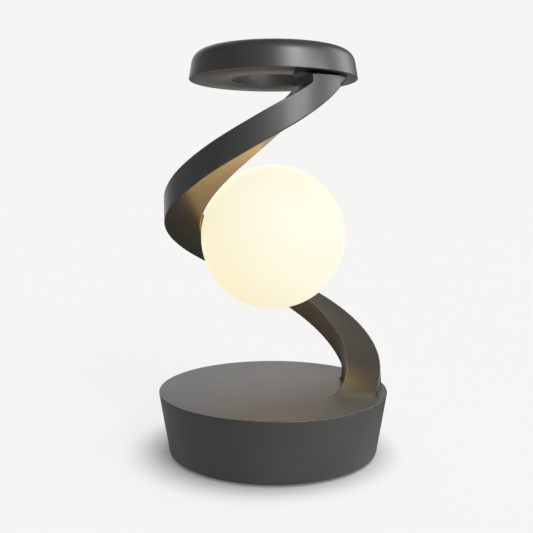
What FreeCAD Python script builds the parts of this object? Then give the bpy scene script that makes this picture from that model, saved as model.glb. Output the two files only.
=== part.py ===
import FreeCAD, Part
import math
import os
import Sketcher

# Spiral table lamp: a round weighted base, a helical rectangular-section arm, an
# annular head and an opal globe that is carried by a magnetic dock on the arm.
# Millimetres.  +Z is up, the floor is z = 0, the lamp's axis is the Z axis.
# The arm's foot faces +X and the rear of the base, with its socket and button, faces +Y.

doc = FreeCAD.newDocument("spiral_lamp")
os.makedirs("parts", exist_ok=True)
V = FreeCAD.Vector
FRAME = FreeCAD.Placement

# ---------------------------------------------------------------- dimensions
sheet = doc.addObject("Spreadsheet::Sheet", "Sizes")
ROWS = [
    ("base_top", 41.5), ("base_low", 1.0), ("rim_radius", 75.4), ("rim_bevel", 0.5),
    ("foot_radius", 68.84), ("low_round", 2.2), ("top_wall", 3.0), ("side_wall", 2.7),
    ("lip_radius", 65.5),
    ("plate_radius", 65.3), ("plate_low", 1.6), ("plate_thick", 2.0),
    ("pad_radius", 6.5), ("pad_ring", 52.0),
    ("boss_ring", 58.0), ("boss_radius", 4.5),
    ("ballast_radius", 50.0), ("ballast_thick", 10.0),
    ("cell_radius", 9.2), ("cell_length", 65.0), ("cell_pitch", 19.6),
    ("board_low", 18.6), ("board_thick", 1.6), ("board_wide", 40.0), ("board_deep", 40.0),
    ("button_radius", 4.5), ("button_across", 14.0), ("button_height", 23.4), ("button_play", 0.06),
    ("socket_across", -8.0), ("socket_wide", 8.94), ("socket_tall", 3.26),
    ("arm_tall", 17.4), ("arm_wide_low", 23.2), ("arm_wide_high", 23.6), ("arm_edge", 0.6),
    ("foot_fillet", 6.4), ("ramp_half", 21.0), ("roof_skew", 8.0), ("wall_lean", 2.0), ("wall_spread", 0.4),
    ("neck_degrees", 295.3), ("neck_low_round", 1.4), ("neck_high_round", 2.2),
    ("channel_tall", 9.0), ("channel_deep", 8.5), ("cover_tall", 12.4), ("cover_thick", 1.8),
    ("head_low", 241.8), ("head_top", 259.5), ("head_radius", 53.9), ("head_top_radius", 50.8),
    ("head_round", 9.0), ("head_hole", 26.2), ("head_wall", 2.2), ("head_floor", 2.5),
    ("globe_height", 141.7), ("globe_radius", 46.9), ("globe_wall", 1.8), ("mouth_radius", 13.0),
    ("dock_azimuth", 155.0), ("dock_face", 46.5), ("rotor_radius", 5.0), ("rotor_play", 0.05),
    ("cup_radius", 6.0), ("magnet_radius", 4.6),
    ("post_radius", 4.0), ("hub_radius", 7.0), ("hub_half", 9.0),
]
VALUE = {}
for row, (alias, value) in enumerate(ROWS, start=1):
    sheet.set("A%d" % row, alias)
    sheet.set("B%d" % row, repr(value))
    sheet.setAlias("B%d" % row, alias)

# guide of the arm: degrees round the axis, outer radius, height of the upper face over the base top
GUIDE = [
    (-45, 69.7, -21.4), (-30, 70.3, -10.5), (-15, 71.1, 0.4), (0, 72.2, 11.3), (15, 73.9, 22.2),
    (30, 74.6, 33.0), (45, 74.6, 43.2), (60, 74.4, 52.9), (75, 73.9, 62.0), (90, 73.4, 71.0),
    (105, 73.1, 80.1), (120, 72.9, 88.9), (135, 72.8, 97.6), (150, 72.5, 106.5), (165, 71.9, 115.5),
    (180, 71.0, 124.4), (195, 69.5, 132.9), (210, 68.3, 141.6), (225, 67.0, 150.6), (240, 65.5, 159.9),
    (255, 62.9, 169.3), (270, 59.6, 178.5), (285, 55.8, 187.0), (300, 52.5, 195.4), (315, 50.2, 203.6),
    (330, 49.0, 212.1), (345, 48.4, 221.1),
]
sheet.set("D1", "arm_degrees")
sheet.set("E1", "arm_outer_radius")
sheet.set("F1", "arm_upper_height")
for row, (deg, rad, up) in enumerate(GUIDE, start=2):
    sheet.set("D%d" % row, repr(deg))
    sheet.set("E%d" % row, repr(rad))
    sheet.set("F%d" % row, repr(up))
    sheet.setAlias("E%d" % row, "arm_rad_%s" % chr(96 + row - 1) if row < 28 else "arm_rad_aa")
    sheet.setAlias("F%d" % row, "arm_up_%s" % chr(96 + row - 1) if row < 28 else "arm_up_aa")
doc.recompute()
for alias, _ in ROWS:
    VALUE[alias] = float(sheet.get(alias))


class Q:
    """A length together with the expression that gives it."""

    def __init__(self, v, s):
        self.v, self.s = float(v), s

    def _o(self, other):
        return other if isinstance(other, Q) else Q(other, repr(float(other)))

    def __add__(self, o):
        o = self._o(o)
        return Q(self.v + o.v, "(%s + %s)" % (self.s, o.s))

    __radd__ = __add__

    def __sub__(self, o):
        o = self._o(o)
        return Q(self.v - o.v, "(%s - %s)" % (self.s, o.s))

    def __rsub__(self, o):
        return self._o(o) - self

    def __mul__(self, o):
        o = self._o(o)
        return Q(self.v * o.v, "(%s * %s)" % (self.s, o.s))

    __rmul__ = __mul__

    def __neg__(self):
        return Q(-self.v, "(0 - %s)" % self.s)


def D(alias):
    return Q(VALUE[alias], "Sizes.%s" % alias)


def num(q):
    return q.v if isinstance(q, Q) else float(q)


def put(obj, prop, q):
    if isinstance(q, Q):
        obj.setExpression(prop, q.s)
    else:
        setattr(obj, prop, float(q))


COUNT = [0]


def name(stem):
    COUNT[0] += 1
    return "%s_%03d" % (stem, COUNT[0])


def place(obj, pos=(0, 0, 0), axis=None, spin=0.0):
    rot = FreeCAD.Rotation(V(0, 0, 1), spin)
    if axis is not None:
        rot = FreeCAD.Rotation(V(0, 0, 1), V(*axis)).multiply(rot)
    obj.Placement = FRAME(V(*[num(p) for p in pos]), rot)
    for key, p in zip("xyz", pos):
        if isinstance(p, Q):
            obj.setExpression("Placement.Base.%s" % key, p.s)
    return obj


def cyl(r, h, pos=(0, 0, 0), axis=None):
    o = doc.addObject("Part::Cylinder", name("cyl"))
    put(o, "Radius", r)
    put(o, "Height", h)
    return place(o, pos, axis)


def cone(r1, r2, h, pos=(0, 0, 0), axis=None):
    o = doc.addObject("Part::Cone", name("cone"))
    put(o, "Radius1", r1)
    put(o, "Radius2", r2)
    put(o, "Height", h)
    return place(o, pos, axis)


def ball(r, pos=(0, 0, 0)):
    o = doc.addObject("Part::Sphere", name("ball"))
    put(o, "Radius", r)
    return place(o, pos)


def box(lx, ly, lz, pos=(0, 0, 0), axis=None, spin=0.0):
    o = doc.addObject("Part::Box", name("box"))
    put(o, "Length", lx)
    put(o, "Width", ly)
    put(o, "Height", lz)
    return place(o, pos, axis, spin)


def prism(n, r, h, pos=(0, 0, 0), axis=None, spin=0.0):
    o = doc.addObject("Part::Prism", name("prism"))
    o.Polygon = n
    put(o, "Circumradius", r)
    put(o, "Height", h)
    return place(o, pos, axis, spin)


def fuse(items, label=None):
    if len(items) == 1:
        o = items[0]
    else:
        o = doc.addObject("Part::MultiFuse", name("fuse"))
        o.Shapes = items
    if label:
        o.Label = label
    return o


def cut(base, tools, label=None):
    o = doc.addObject("Part::Cut", name("cut"))
    o.Base = base
    o.Tool = fuse(tools)
    if label:
        o.Label = label
    return o


def common(items, label=None):
    o = doc.addObject("Part::MultiCommon", name("both"))
    o.Shapes = items
    if label:
        o.Label = label
    return o


def group(items, label):
    o = doc.addObject("Part::Compound", name("group"))
    o.Links = items
    o.Label = label
    return o


def plain(shape, label):
    o = doc.addObject("Part::Feature", name("solid"))
    o.Shape = shape
    o.Placement = FRAME(V(0, 0, 0), FreeCAD.Rotation())
    o.Label = label
    return o


def turned(label, verts):
    """A body revolved about its Z axis from a closed (radius, height) outline."""
    body = doc.addObject("PartDesign::Body", name("body"))
    sk = body.newObject("Sketcher::SketchObject", name("outline"))
    plane = [f for f in body.Origin.OriginFeatures if getattr(f, "Role", "") == "XZ_Plane"][0]
    sk.AttachmentSupport = [(plane, "")]
    sk.MapMode = "FlatFace"
    n = len(verts)
    pts = [V(num(r), num(z), 0) for r, z in verts]
    for i in range(n):
        sk.addGeometry(Part.LineSegment(pts[i], pts[(i + 1) % n]), False)
    for i in range(n):
        sk.addConstraint(Sketcher.Constraint("Coincident", i, 2, (i + 1) % n, 1))
    for i, (r, z) in enumerate(verts):
        for kind, q, axis in (("DistanceX", r, -2), ("DistanceY", z, -1)):
            if abs(num(q)) < 1e-9:
                sk.addConstraint(Sketcher.Constraint("PointOnObject", i, 1, axis))
                continue
            k = sk.addConstraint(Sketcher.Constraint(kind, -1, 1, i, 1, num(q)))
            if isinstance(q, Q):
                tag = "v%d%s" % (i, kind[-1])
                sk.renameConstraint(k, tag)
                sk.setExpression("Constraints.%s" % tag, q.s)
    rev = body.newObject("PartDesign::Revolution", name("turn"))
    rev.Profile = sk
    rev.ReferenceAxis = (sk, ["V_Axis"])
    rev.Angle = 360.0
    doc.recompute()
    if label:
        body.Label = label
    return body


def rounded(body, radius, picks):
    """Rounds the circular edges of a turned body found at (radius, height)."""
    tip = body.Tip
    names = []
    for k, e in enumerate(tip.Shape.Edges, start=1):
        if not hasattr(e.Curve, "Radius"):
            continue
        for r, z in picks:
            if abs(e.Curve.Radius - r) < 0.02 and abs(e.Curve.Center.z - z) < 0.02:
                names.append("Edge%d" % k)
    f = body.newObject("PartDesign::Fillet", name("round"))
    f.Base = (tip, sorted(set(names)))
    put(f, "Radius", radius)
    body.Tip = f
    doc.recompute()
    return body


def polar(deg, r, z):
    a = math.radians(deg)
    return (r * math.cos(a), r * math.sin(a), z)


def wire_run(points, r):
    """A round lead along straight runs with ball corners."""
    items = []
    for a, b in zip(points, points[1:]):
        d = V(*b) - V(*a)
        items.append(cyl(r, d.Length, a, (d.x, d.y, d.z)))
    for p in points[1:-1]:
        items.append(ball(r, p))
    return fuse(items)


def csk_screw(pos, axis, shank, length, head, head_tall, drive):
    """Countersunk screw; pos is the centre of its head's flat face, axis points to its tip."""
    ax = V(*axis)
    ax.normalize()
    p = V(*pos)
    a = (ax.x, ax.y, ax.z)
    h = cone(head, shank, head_tall, (p.x, p.y, p.z), a)
    s = cyl(shank, length, (p.x, p.y, p.z), a)
    d = prism(6, drive, head_tall * 0.7, tuple(p - ax * 0.01), a)
    return cut(fuse([h, s]), [d])


def cap_screw(pos, axis, shank, length, head, head_tall, drive):
    """Socket screw; pos is the seat of its head, axis points to its tip."""
    ax = V(*axis)
    ax.normalize()
    p = V(*pos)
    a = (ax.x, ax.y, ax.z)
    top = p - ax * head_tall
    h = cyl(head, head_tall, tuple(top), a)
    s = cyl(shank, length, (p.x, p.y, p.z), a)
    d = prism(6, drive, head_tall * 0.6, tuple(top - ax * 0.01), a)
    return cut(fuse([h, s]), [d])


NODES = []


def node(obj, label):
    obj.Label = label
    NODES.append((label, obj))
    return obj


# ---------------------------------------------------------------- the arm's guide curves
def spline(xs, ys):
    """Natural cubic spline through the stations."""
    n = len(xs)
    h = [xs[i + 1] - xs[i] for i in range(n - 1)]
    a = [0.0] * n
    b = [1.0] * n
    c = [0.0] * n
    d = [0.0] * n
    for i in range(1, n - 1):
        a[i] = h[i - 1]
        b[i] = 2.0 * (h[i - 1] + h[i])
        c[i] = h[i]
        d[i] = 6.0 * ((ys[i + 1] - ys[i]) / h[i] - (ys[i] - ys[i - 1]) / h[i - 1])
    for i in range(1, n):
        w = a[i] / b[i - 1]
        b[i] -= w * c[i - 1]
        d[i] -= w * d[i - 1]
    m = [0.0] * n
    for i in range(n - 2, 0, -1):
        m[i] = (d[i] - c[i] * m[i + 1]) / b[i]

    def f(x):
        i = 0
        while i < n - 2 and x > xs[i + 1]:
            i += 1
        t0, t1 = xs[i + 1] - x, x - xs[i]
        return (
            m[i] * t0 ** 3 / (6 * h[i])
            + m[i + 1] * t1 ** 3 / (6 * h[i])
            + (ys[i] / h[i] - m[i] * h[i] / 6) * t0
            + (ys[i + 1] / h[i] - m[i + 1] * h[i] / 6) * t1
        )

    return f


DEG = [float(g[0]) for g in GUIDE]
outer_at = spline(DEG, [float(sheet.get("E%d" % k)) for k in range(2, 2 + len(GUIDE))])
upper_raw = spline(DEG, [float(sheet.get("F%d" % k)) for k in range(2, 2 + len(GUIDE))])
BASE_TOP = VALUE["base_top"]
TALL = VALUE["arm_tall"]
HEAD_LOW = VALUE["head_low"]


def inner_at(t):
    wide = VALUE["arm_wide_low"] + (VALUE["arm_wide_high"] - VALUE["arm_wide_low"]) * min(max(t, 0.0), 180.0) / 180.0
    r = outer_at(t) - wide
    if t < 0:
        r += (t / 30.0) * 3.2  # the foot spreads inward
    floor = 26.9
    if t > 270 and r < floor + 1.5:  # the arm's inner face runs out along the head's hole
        k = (floor + 1.5 - r)
        r = floor + 1.5 - 1.5 * (1 - math.exp(-k / 1.5))
    return r


def upper_at(t):
    return BASE_TOP + upper_raw(t)


def lower_at(t):
    return upper_at(t) - TALL


def crossing(f, level, lo, hi):
    for _ in range(60):
        mid = 0.5 * (lo + hi)
        if f(mid) < level:
            lo = mid
        else:
            hi = mid
    return 0.5 * (lo + hi)


# where the straight arm would pass through the base top and the head's underside
T_TOP_IN = crossing(upper_at, BASE_TOP, -40, 40)
T_LOW_IN = crossing(lower_at, BASE_TOP, -40, 60)

# the ramp that carries the upper face out on to the base top
RAMP_HALF = VALUE["ramp_half"]
T_RAMP0 = T_TOP_IN - RAMP_HALF
T_RAMP1 = T_TOP_IN + RAMP_HALF
RAMP_A = (upper_at(T_RAMP1) - BASE_TOP) / (T_RAMP1 - T_RAMP0) ** 2


def roof_at(t):
    if t < T_RAMP1:
        return BASE_TOP + RAMP_A * (t - T_RAMP0) ** 2
    return upper_at(t)


T_START = T_RAMP0 + math.sqrt(0.15 / RAMP_A)

# the hollow fillet under the arm, in the plane of (arc length, height)
SC_F = 60.0 * math.pi / 180.0
SLOPE_F = (lower_at(T_LOW_IN + 10) - lower_at(T_LOW_IN)) / 10.0
AL_F = math.atan(SLOPE_F / SC_F)
RF = VALUE["foot_fillet"]
TAN_F = RF / math.tan(AL_F / 2)
T_NECK = T_LOW_IN + (TAN_F - RF) / SC_F

# the neck under the head: a short upright face with a small round below it and a larger one above
T_NECK_H = VALUE["neck_degrees"]
SC_H = 50.0 * math.pi / 180.0
AL_H = math.atan((upper_at(T_NECK_H) - upper_at(T_NECK_H - 10)) / 10.0 / SC_H)
R_LOW, R_HIGH = VALUE["neck_low_round"], VALUE["neck_high_round"]
Z_NECK_LOW = upper_at(T_NECK_H) + R_LOW * (1.0 / math.cos(AL_H) - math.tan(AL_H))
Z_NECK_HIGH = HEAD_LOW - R_HIGH


def steps(a, b, step):
    n = max(2, int(math.ceil(abs(b - a) / step)) + 1)
    return [a + (b - a) * i / (n - 1) for i in range(n)]


def strip(stations, sections):
    """A solid through polygonal sections that lie in planes through the axis.

    stations: degrees; sections: for each one the same number of (radius, height) corners."""
    n = len(stations)
    par = [i / (n - 1.0) for i in range(n)]
    count = len(sections[0])
    edges = []
    for c in range(count):
        pts = [V(*polar(t, s[c][0], s[c][1])) for t, s in zip(stations, sections)]
        if n == 2:
            edges.append(Part.makeLine(pts[0], pts[1]))
        else:
            cur = Part.BSplineCurve()
            cur.interpolate(Points=pts, Parameters=par)
            edges.append(cur.toShape())
    faces = [Part.makeRuledSurface(edges[c], edges[(c + 1) % count]) for c in range(count)]
    for t, s in ((stations[0], sections[0]), (stations[-1], sections[-1])):
        ring = [V(*polar(t, r, z)) for r, z in s]
        faces.append(Part.Face(Part.makePolygon(ring + [ring[0]])))
    shell = Part.makeShell(faces)
    shell.sewShape()
    solid = Part.makeSolid(shell)
    if solid.Volume < 0:
        solid.reverse()
    return solid


EDGE = VALUE["arm_edge"]


def arm_section(t, zlo, zhi, low_edge=True, high_edge=True):
    ro, ri = outer_at(t), inner_at(t)
    e = min(EDGE, 0.3 * (zhi - zlo))
    s = []
    if low_edge:
        s += [(ri, zlo + e), (ri + e, zlo), (ro - e, zlo), (ro, zlo + e)]
    else:
        s += [(ri, zlo), (ro, zlo)]
    if high_edge:
        s += [(ro, zhi - e), (ro - e, zhi), (ri + e, zhi), (ri, zhi - e)]
    else:
        s += [(ro, zhi), (ri, zhi)]
    return s


def lateral_of(rings):
    """The ruled faces that join matching corners of plane rings of points."""
    n = len(rings)
    par = [i / (n - 1.0) for i in range(n)]
    count = len(rings[0])
    edges = []
    for c in range(count):
        cur = Part.BSplineCurve()
        cur.interpolate(Points=[ring[c] for ring in rings], Parameters=par)
        edges.append(cur.toShape())
    return [(c, Part.makeRuledSurface(edges[c], edges[(c + 1) % count])) for c in range(count)]


def lateral(stations, sections):
    """The same for sections in planes through the axis."""
    return lateral_of([[V(*polar(t, r, z)) for r, z in s] for t, s in zip(stations, sections)])


def flat_face(t, corners):
    ring = [V(*polar(t, r, z)) for r, z in corners]
    return Part.Face(Part.makePolygon(ring + [ring[0]]))


def edge_of(zlo, zhi):
    return min(EDGE, 0.3 * (zhi - zlo))


skin = []
# the foot block on the base top, with the ramp as its roof; its walls are split at the height
# where the hollow begins
Z_NECK = BASE_TOP + RF
e = edge_of(BASE_TOP, roof_at(T_NECK))
SHARE_F = RF / (roof_at(T_NECK) - e - BASE_TOP)


def ease(k):
    k = min(1.0, max(0.0, k))
    return k * k * (3 - 2 * k)


def foot_section(t):
    """Corners of the foot, t being the station of its inner wall.

    Towards its end the section is skewed from the radius and its outer wall leans in."""
    t_out = t + VALUE["roof_skew"] * ease((-5.0 - t) / 26.0)
    k = ease((12.0 - t_out) / 30.0)
    lean, spread = VALUE["wall_lean"] * k, VALUE["wall_spread"] * k
    top = roof_at(t)
    e = edge_of(BASE_TOP, top)
    zm = BASE_TOP + SHARE_F * (top - e - BASE_TOP)
    p_in, p_out = V(*polar(t, inner_at(t), 0)), V(*polar(t_out, outer_at(t_out), 0))
    d = p_out - p_in
    d.normalize()

    def at(p, shift, z):
        q = p + d * shift
        return V(q.x, q.y, z)

    return [
        at(p_in, 0, BASE_TOP), at(p_out, spread, BASE_TOP), at(p_out, spread - (spread + lean) * SHARE_F, zm),
        at(p_out, -lean, top - e), at(p_out, -lean - e, top), at(p_in, e, top), at(p_in, 0, top - e), at(p_in, 0, zm)]


ts = steps(T_START, T_NECK, 3.0)
rings = [foot_section(t) for t in ts]
skin += [f for c, f in lateral_of(rings)]
skin.append(Part.Face(Part.makePolygon(rings[0] + [rings[0][0]])))
# the hollow over the toe
arc = [math.pi / 2 + (math.pi / 2 - AL_F) * i / 8.0 for i in range(9)]
ts = [T_LOW_IN + (TAN_F - RF * math.sin(a)) / SC_F for a in arc]
zs = [BASE_TOP + RF - RF * math.cos(a) for a in arc]
ts[0], zs[0] = T_NECK, Z_NECK
skin += [f for c, f in lateral(ts, [arm_section(t, z, roof_at(t), False, True) for t, z in zip(ts, zs)])]
T_MAIN0, Z_MAIN0 = ts[-1], zs[-1]
# the toe: a thin lip that runs out on the base top
arc = [math.pi / 2 - (math.pi / 2 - 0.24) * i / 8.0 for i in range(9)]
ts = [T_LOW_IN + (TAN_F - RF * math.sin(a)) / SC_F for a in arc]
zs = [BASE_TOP + RF - RF * math.cos(a) for a in arc]
ts[0], zs[0] = T_NECK, Z_NECK
secs = [arm_section(t, BASE_TOP, z, False, False) for t, z in zip(ts, zs)]
skin += [f for c, f in lateral(ts, secs)]
skin.append(flat_face(ts[-1], secs[-1]))
# the open helix, and the small round where its upper face meets the neck
arc_h = [(math.pi / 2 - AL_H) * i / 6.0 for i in range(7)]
ts_h = [T_NECK_H - R_LOW * (1 - math.cos(a)) / SC_H for a in arc_h]
zs_h = [Z_NECK_LOW - R_LOW * math.sin(a) for a in arc_h]
T_MAIN1, Z_MAIN1 = ts_h[-1], zs_h[-1]
TRIM_F = Z_MAIN0 - lower_at(T_MAIN0)
TRIM_H = Z_MAIN1 - upper_at(T_MAIN1)


def low_main(t):
    k = max(0.0, 1.0 - (t - T_MAIN0) / 12.0)
    return lower_at(t) + TRIM_F * k * k


def high_main(t):
    k = max(0.0, 1.0 - (T_MAIN1 - t) / 12.0)
    return roof_at(t) + TRIM_H * k * k


cuts = [T_MAIN0, 90.0, 165.0, 240.0, T_MAIN1]
for t0, t1 in zip(cuts, cuts[1:]):
    ts = steps(t0, t1, 5.0)
    skin += [f for c, f in lateral(ts, [arm_section(t, low_main(t), high_main(t)) for t in ts])]
s0 = arm_section(T_MAIN0, low_main(T_MAIN0), high_main(T_MAIN0))
ro, ri, z = outer_at(T_MAIN0), inner_at(T_MAIN0), low_main(T_MAIN0)
skin.append(flat_face(T_MAIN0, [(ri, z), s0[1], s0[0]]))
skin.append(flat_face(T_MAIN0, [(ro, z), s0[3], s0[2]]))
s1 = arm_section(T_MAIN1, low_main(T_MAIN1), high_main(T_MAIN1))
ro, ri, z = outer_at(T_MAIN1), inner_at(T_MAIN1), high_main(T_MAIN1)
skin.append(flat_face(T_MAIN1, [(ro, z), s1[5], s1[4]]))
skin.append(flat_face(T_MAIN1, [(ri, z), s1[7], s1[6]]))
ts, zs = ts_h[::-1], zs_h[::-1]
skin += [f for c, f in lateral(ts, [arm_section(t, lower_at(t), z, True, False) for t, z in zip(ts, zs)])]
# the upright face of the neck
ro, ri = outer_at(T_NECK_H), inner_at(T_NECK_H)
skin.append(flat_face(T_NECK_H, [(ri, Z_NECK_LOW), (ro, Z_NECK_LOW), (ro, Z_NECK_HIGH), (ri, Z_NECK_HIGH)]))
# the lip that runs out on the head's underside
arc = [(math.pi / 2 - 0.36) * i / 6.0 for i in range(7)]
ts = [T_NECK_H - R_HIGH * (1 - math.cos(a)) / SC_H for a in arc][::-1]
zs = [Z_NECK_HIGH + R_HIGH * math.sin(a) for a in arc][::-1]
secs = [arm_section(t, z, HEAD_LOW, False, False) for t, z in zip(ts, zs)]
skin += [f for c, f in lateral(ts, secs)]
skin.append(flat_face(ts[0], secs[0]))
# the end block under the head, its walls split at the two heights of the neck
T_END = crossing(lower_at, HEAD_LOW - 0.3, 300, 344)
e = edge_of(lower_at(T_NECK_H), HEAD_LOW)
LOW_H = lower_at(T_NECK_H) + e
SHARES_H = [(z - LOW_H) / (HEAD_LOW - LOW_H) for z in (Z_NECK_LOW, Z_NECK_HIGH)]


def head_section(t):
    ro, ri, low = outer_at(t), inner_at(t), lower_at(t)
    e = edge_of(low, HEAD_LOW)
    z1, z2 = [low + e + q * (HEAD_LOW - low - e) for q in SHARES_H]
    return [
        (ri, low + e), (ri + e, low), (ro - e, low), (ro, low + e), (ro, z1), (ro, z2),
        (ro, HEAD_LOW), (ri, HEAD_LOW), (ri, z2), (ri, z1)]


ts = steps(T_NECK_H, T_END, 3.0)
secs = [head_section(t) for t in ts]
skin += [f for c, f in lateral(ts, secs)]
skin.append(flat_face(ts[-1], secs[-1]))

arm_shell_faces = Part.makeShell(skin)
arm_shell_faces.sewShape()
arm_solid = Part.makeSolid(arm_shell_faces)
if arm_solid.Volume < 0:
    arm_solid.reverse()
print("ARM", arm_shell_faces.isClosed(), arm_solid.isValid(), len(arm_solid.Solids), round(arm_solid.Volume), T_START, T_NECK, T_MAIN1, T_END)


def bar(t0, t1, depth0, depth1, half, shift=0.0, step=5.0):
    """A bar inside the arm: depths are measured outward from the arm's inner face."""
    ts = steps(t0, t1, step)
    secs = []
    for t in ts:
        ri = inner_at(t)
        zm = upper_at(t) - TALL / 2 + shift
        secs.append([(ri + depth0, zm - half), (ri + depth1, zm - half), (ri + depth1, zm + half), (ri + depth0, zm + half)])
    return strip(ts, secs)


CH_T, CH_D, CV_T, CV_D = VALUE["channel_tall"], VALUE["channel_deep"], VALUE["cover_tall"], VALUE["cover_thick"]
T_CH0, T_CH1 = 13.0, 146.5
channel = plain(bar(T_CH0, T_CH1, -1.0, CH_D, CH_T / 2), "channel_tool")
rebate = plain(bar(T_CH0 - 1.2, T_CH1 + 1.2, -1.0, CV_D, CV_T / 2), "rebate_tool")
tunnel = plain(bar(T_CH1 - 2.0, 155.0, 3.0, CH_D, 2.6), "tunnel_tool")

AZ = VALUE["dock_azimuth"]
DIRU = (math.cos(math.radians(AZ)), math.sin(math.radians(AZ)), 0.0)


def dock(u, v=0.0, w=0.0):
    """A point u along the dock's axis from the globe's centre, v sideways, w up."""
    a = math.radians(AZ)
    return (u * math.cos(a) - v * math.sin(a), u * math.sin(a) + v * math.cos(a), VALUE["globe_height"] + w)


FOOT_SCREWS = [(-3.0, 58.5), (6.5, 66.5), (17.5, 67.0)]
CABLE_AT = (15.5, inner_at(15.5) + 5.0)
HEAD_SCREWS = [(304.5, 34.0), (305.5, 45.0), (319.0, 38.5)]
tools = [channel, rebate, tunnel]
tools.append(cyl(D("cup_radius") + 0.01, 11.5, dock(47.0), DIRU))
for t, r in FOOT_SCREWS:
    x, y, _ = polar(t, r, 0)
    tools.append(cyl(2.01, 6.6, (x, y, D("base_top") - 0.5)))
x, y, _ = polar(CABLE_AT[0], CABLE_AT[1], 0)
tools.append(cyl(3.0, upper_at(CABLE_AT[0]) - TALL / 2 - BASE_TOP + 0.6, (x, y, D("base_top") - 0.5)))
for t, r in HEAD_SCREWS:
    x, y, _ = polar(t, r, 0)
    tools.append(cyl(1.51, 8.1, (x, y, D("head_low") - 7.6)))
arm_body = plain(arm_solid, "arm_solid")
node(cut(arm_body, tools), "arm_shell")

cover = bar(T_CH0 - 1.15, T_CH1 + 1.15, 0.0, CV_D - 0.05, CV_T / 2 - 0.05)
node(plain(cover, "arm_inner_cover"), "arm_inner_cover")

# the flat two-core cable in the channel, its rise through the foot and its run to the board
flat = plain(bar(CABLE_AT[0], 147.4, 3.6, 6.4, 1.3), "cable_flat")
zc = upper_at(CABLE_AT[0]) - TALL / 2
rise = wire_run([(x0, y0, z0) for x0, y0, z0 in [
    (polar(CABLE_AT[0], CABLE_AT[1], zc)), (polar(CABLE_AT[0], CABLE_AT[1], 33.0)), (20.0, 36.0, 31.0), (15.5, 36.0, 27.6)]], 1.3)
node(fuse([flat, rise]), "arm_cable")

# ---------------------------------------------------------------- base
shell = turned(None, [
    (0, D("base_top") - D("top_wall")), (0, D("base_top")), (D("rim_radius") - D("rim_bevel"), D("base_top")),
    (D("rim_radius"), D("base_top") - D("rim_bevel")), (D("foot_radius"), D("base_low")),
    (D("lip_radius"), D("base_low")), (D("lip_radius"), 4.2), (D("foot_radius") - D("side_wall") + 0.75, 5.4),
    (D("rim_radius") - D("side_wall") - 0.4, D("base_top") - D("top_wall")),
])
shell.Label = "base_shell_turned"
shell = rounded(shell, D("low_round"), [(VALUE["foot_radius"], VALUE["base_low"])])
bosses, boss_holes = [], []
BOSS = [45, 135, 225, 315]
for a in BOSS:
    x, y, _ = polar(a, 58.0, 0)
    bosses.append(cyl(D("boss_radius"), 35.4, (x, y, D("plate_low") + D("plate_thick"))))
    boss_holes.append(cyl(1.61, 11.0, (x, y, 2.0)))
with_bosses = fuse([shell] + bosses)
holes = list(boss_holes)
for t, r in FOOT_SCREWS:
    x, y, _ = polar(t, r, 0)
    holes.append(cyl(2.15, 5.0, (x, y, D("base_top") - 4.0)))
x, y, _ = polar(CABLE_AT[0], CABLE_AT[1], 0)
holes.append(cyl(3.0, 5.0, (x, y, D("base_top") - 4.0)))
holes.append(cyl(D("button_radius") + D("button_play"), 16.0, (D("button_across"), 62.0, D("button_height")), (0, 1, 0)))
SX, SZ = VALUE["socket_across"], VALUE["board_low"] + VALUE["board_thick"] + VALUE["socket_tall"] / 2
SW, ST = VALUE["socket_wide"], VALUE["socket_tall"]


def oval(wide, tall, deep, y0):
    """A flat-sided oval bar along +Y about the socket's centre line."""
    r = tall / 2.0
    a = cyl(r, deep, (SX - wide / 2 + r, y0, SZ), (0, 1, 0))
    b = cyl(r, deep, (SX + wide / 2 - r, y0, SZ), (0, 1, 0))
    c = box(wide - 2 * r, deep, tall, (SX - wide / 2 + r, y0, SZ - r))
    return fuse([a, b, c])


holes.append(oval(SW + 0.5, ST + 0.5, 14.0, 62.0))
node(cut(with_bosses, holes), "base_shell")

plate = turned(None, [(0, D("plate_low")), (D("plate_radius"), D("plate_low")), (D("plate_radius"), D("plate_low") + D("plate_thick")), (0, D("plate_low") + D("plate_thick"))])
plate.Label = "bottom_plate_turned"
BALLAST_SCREWS = [30, 150, 270]
ph = []
for a in BOSS:
    x, y, _ = polar(a, 58.0, 0)
    ph.append(cone(3.5, 1.65, 1.65, (x, y, D("plate_low") - 0.01)))
    ph.append(cyl(1.65, 4.0, (x, y, 1.0)))
for a in BALLAST_SCREWS:
    x, y, _ = polar(a, 30.0, 0)
    ph.append(cone(4.1, 2.15, 1.75, (x, y, D("plate_low") - 0.01)))
    ph.append(cyl(2.15, 4.0, (x, y, 1.0)))
node(cut(plate, ph), "bottom_plate")

pads = []
for a in (0, 90, 180, 270):
    x, y, _ = polar(a, 52.0, 0)
    p0 = cone(5.9, 6.5, 0.6, (x, y, 0))
    p1 = cyl(D("pad_radius"), D("plate_low") - 0.6, (x, y, 0.6))
    pads.append(fuse([p0, p1]))
node(group(pads, "rubber_feet"), "rubber_feet")

node(group([csk_screw(polar(a, 58.0, 1.75), (0, 0, 1), 1.6, 10.0, 3.0, 1.4, 1.1) for a in BOSS], "bottom_screws"), "bottom_screws")
node(group([csk_screw(polar(a, 30.0, 1.75), (0, 0, 1), 2.1, 9.5, 3.7, 1.6, 1.3) for a in BALLAST_SCREWS], "ballast_screws"), "ballast_screws")

Z0 = D("plate_low") + D("plate_thick")
ballast = turned(None, [(7.0, Z0), (D("ballast_radius"), Z0), (D("ballast_radius"), Z0 + D("ballast_thick") - 1.0), (D("ballast_radius") - 1.0, Z0 + D("ballast_thick")), (7.0, Z0 + D("ballast_thick"))])
ballast.Label = "ballast_turned"
node(cut(ballast, [cyl(2.12, 9.0, polar(a, 30.0, 3.0)) for a in BALLAST_SCREWS]), "ballast_disc")

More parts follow.
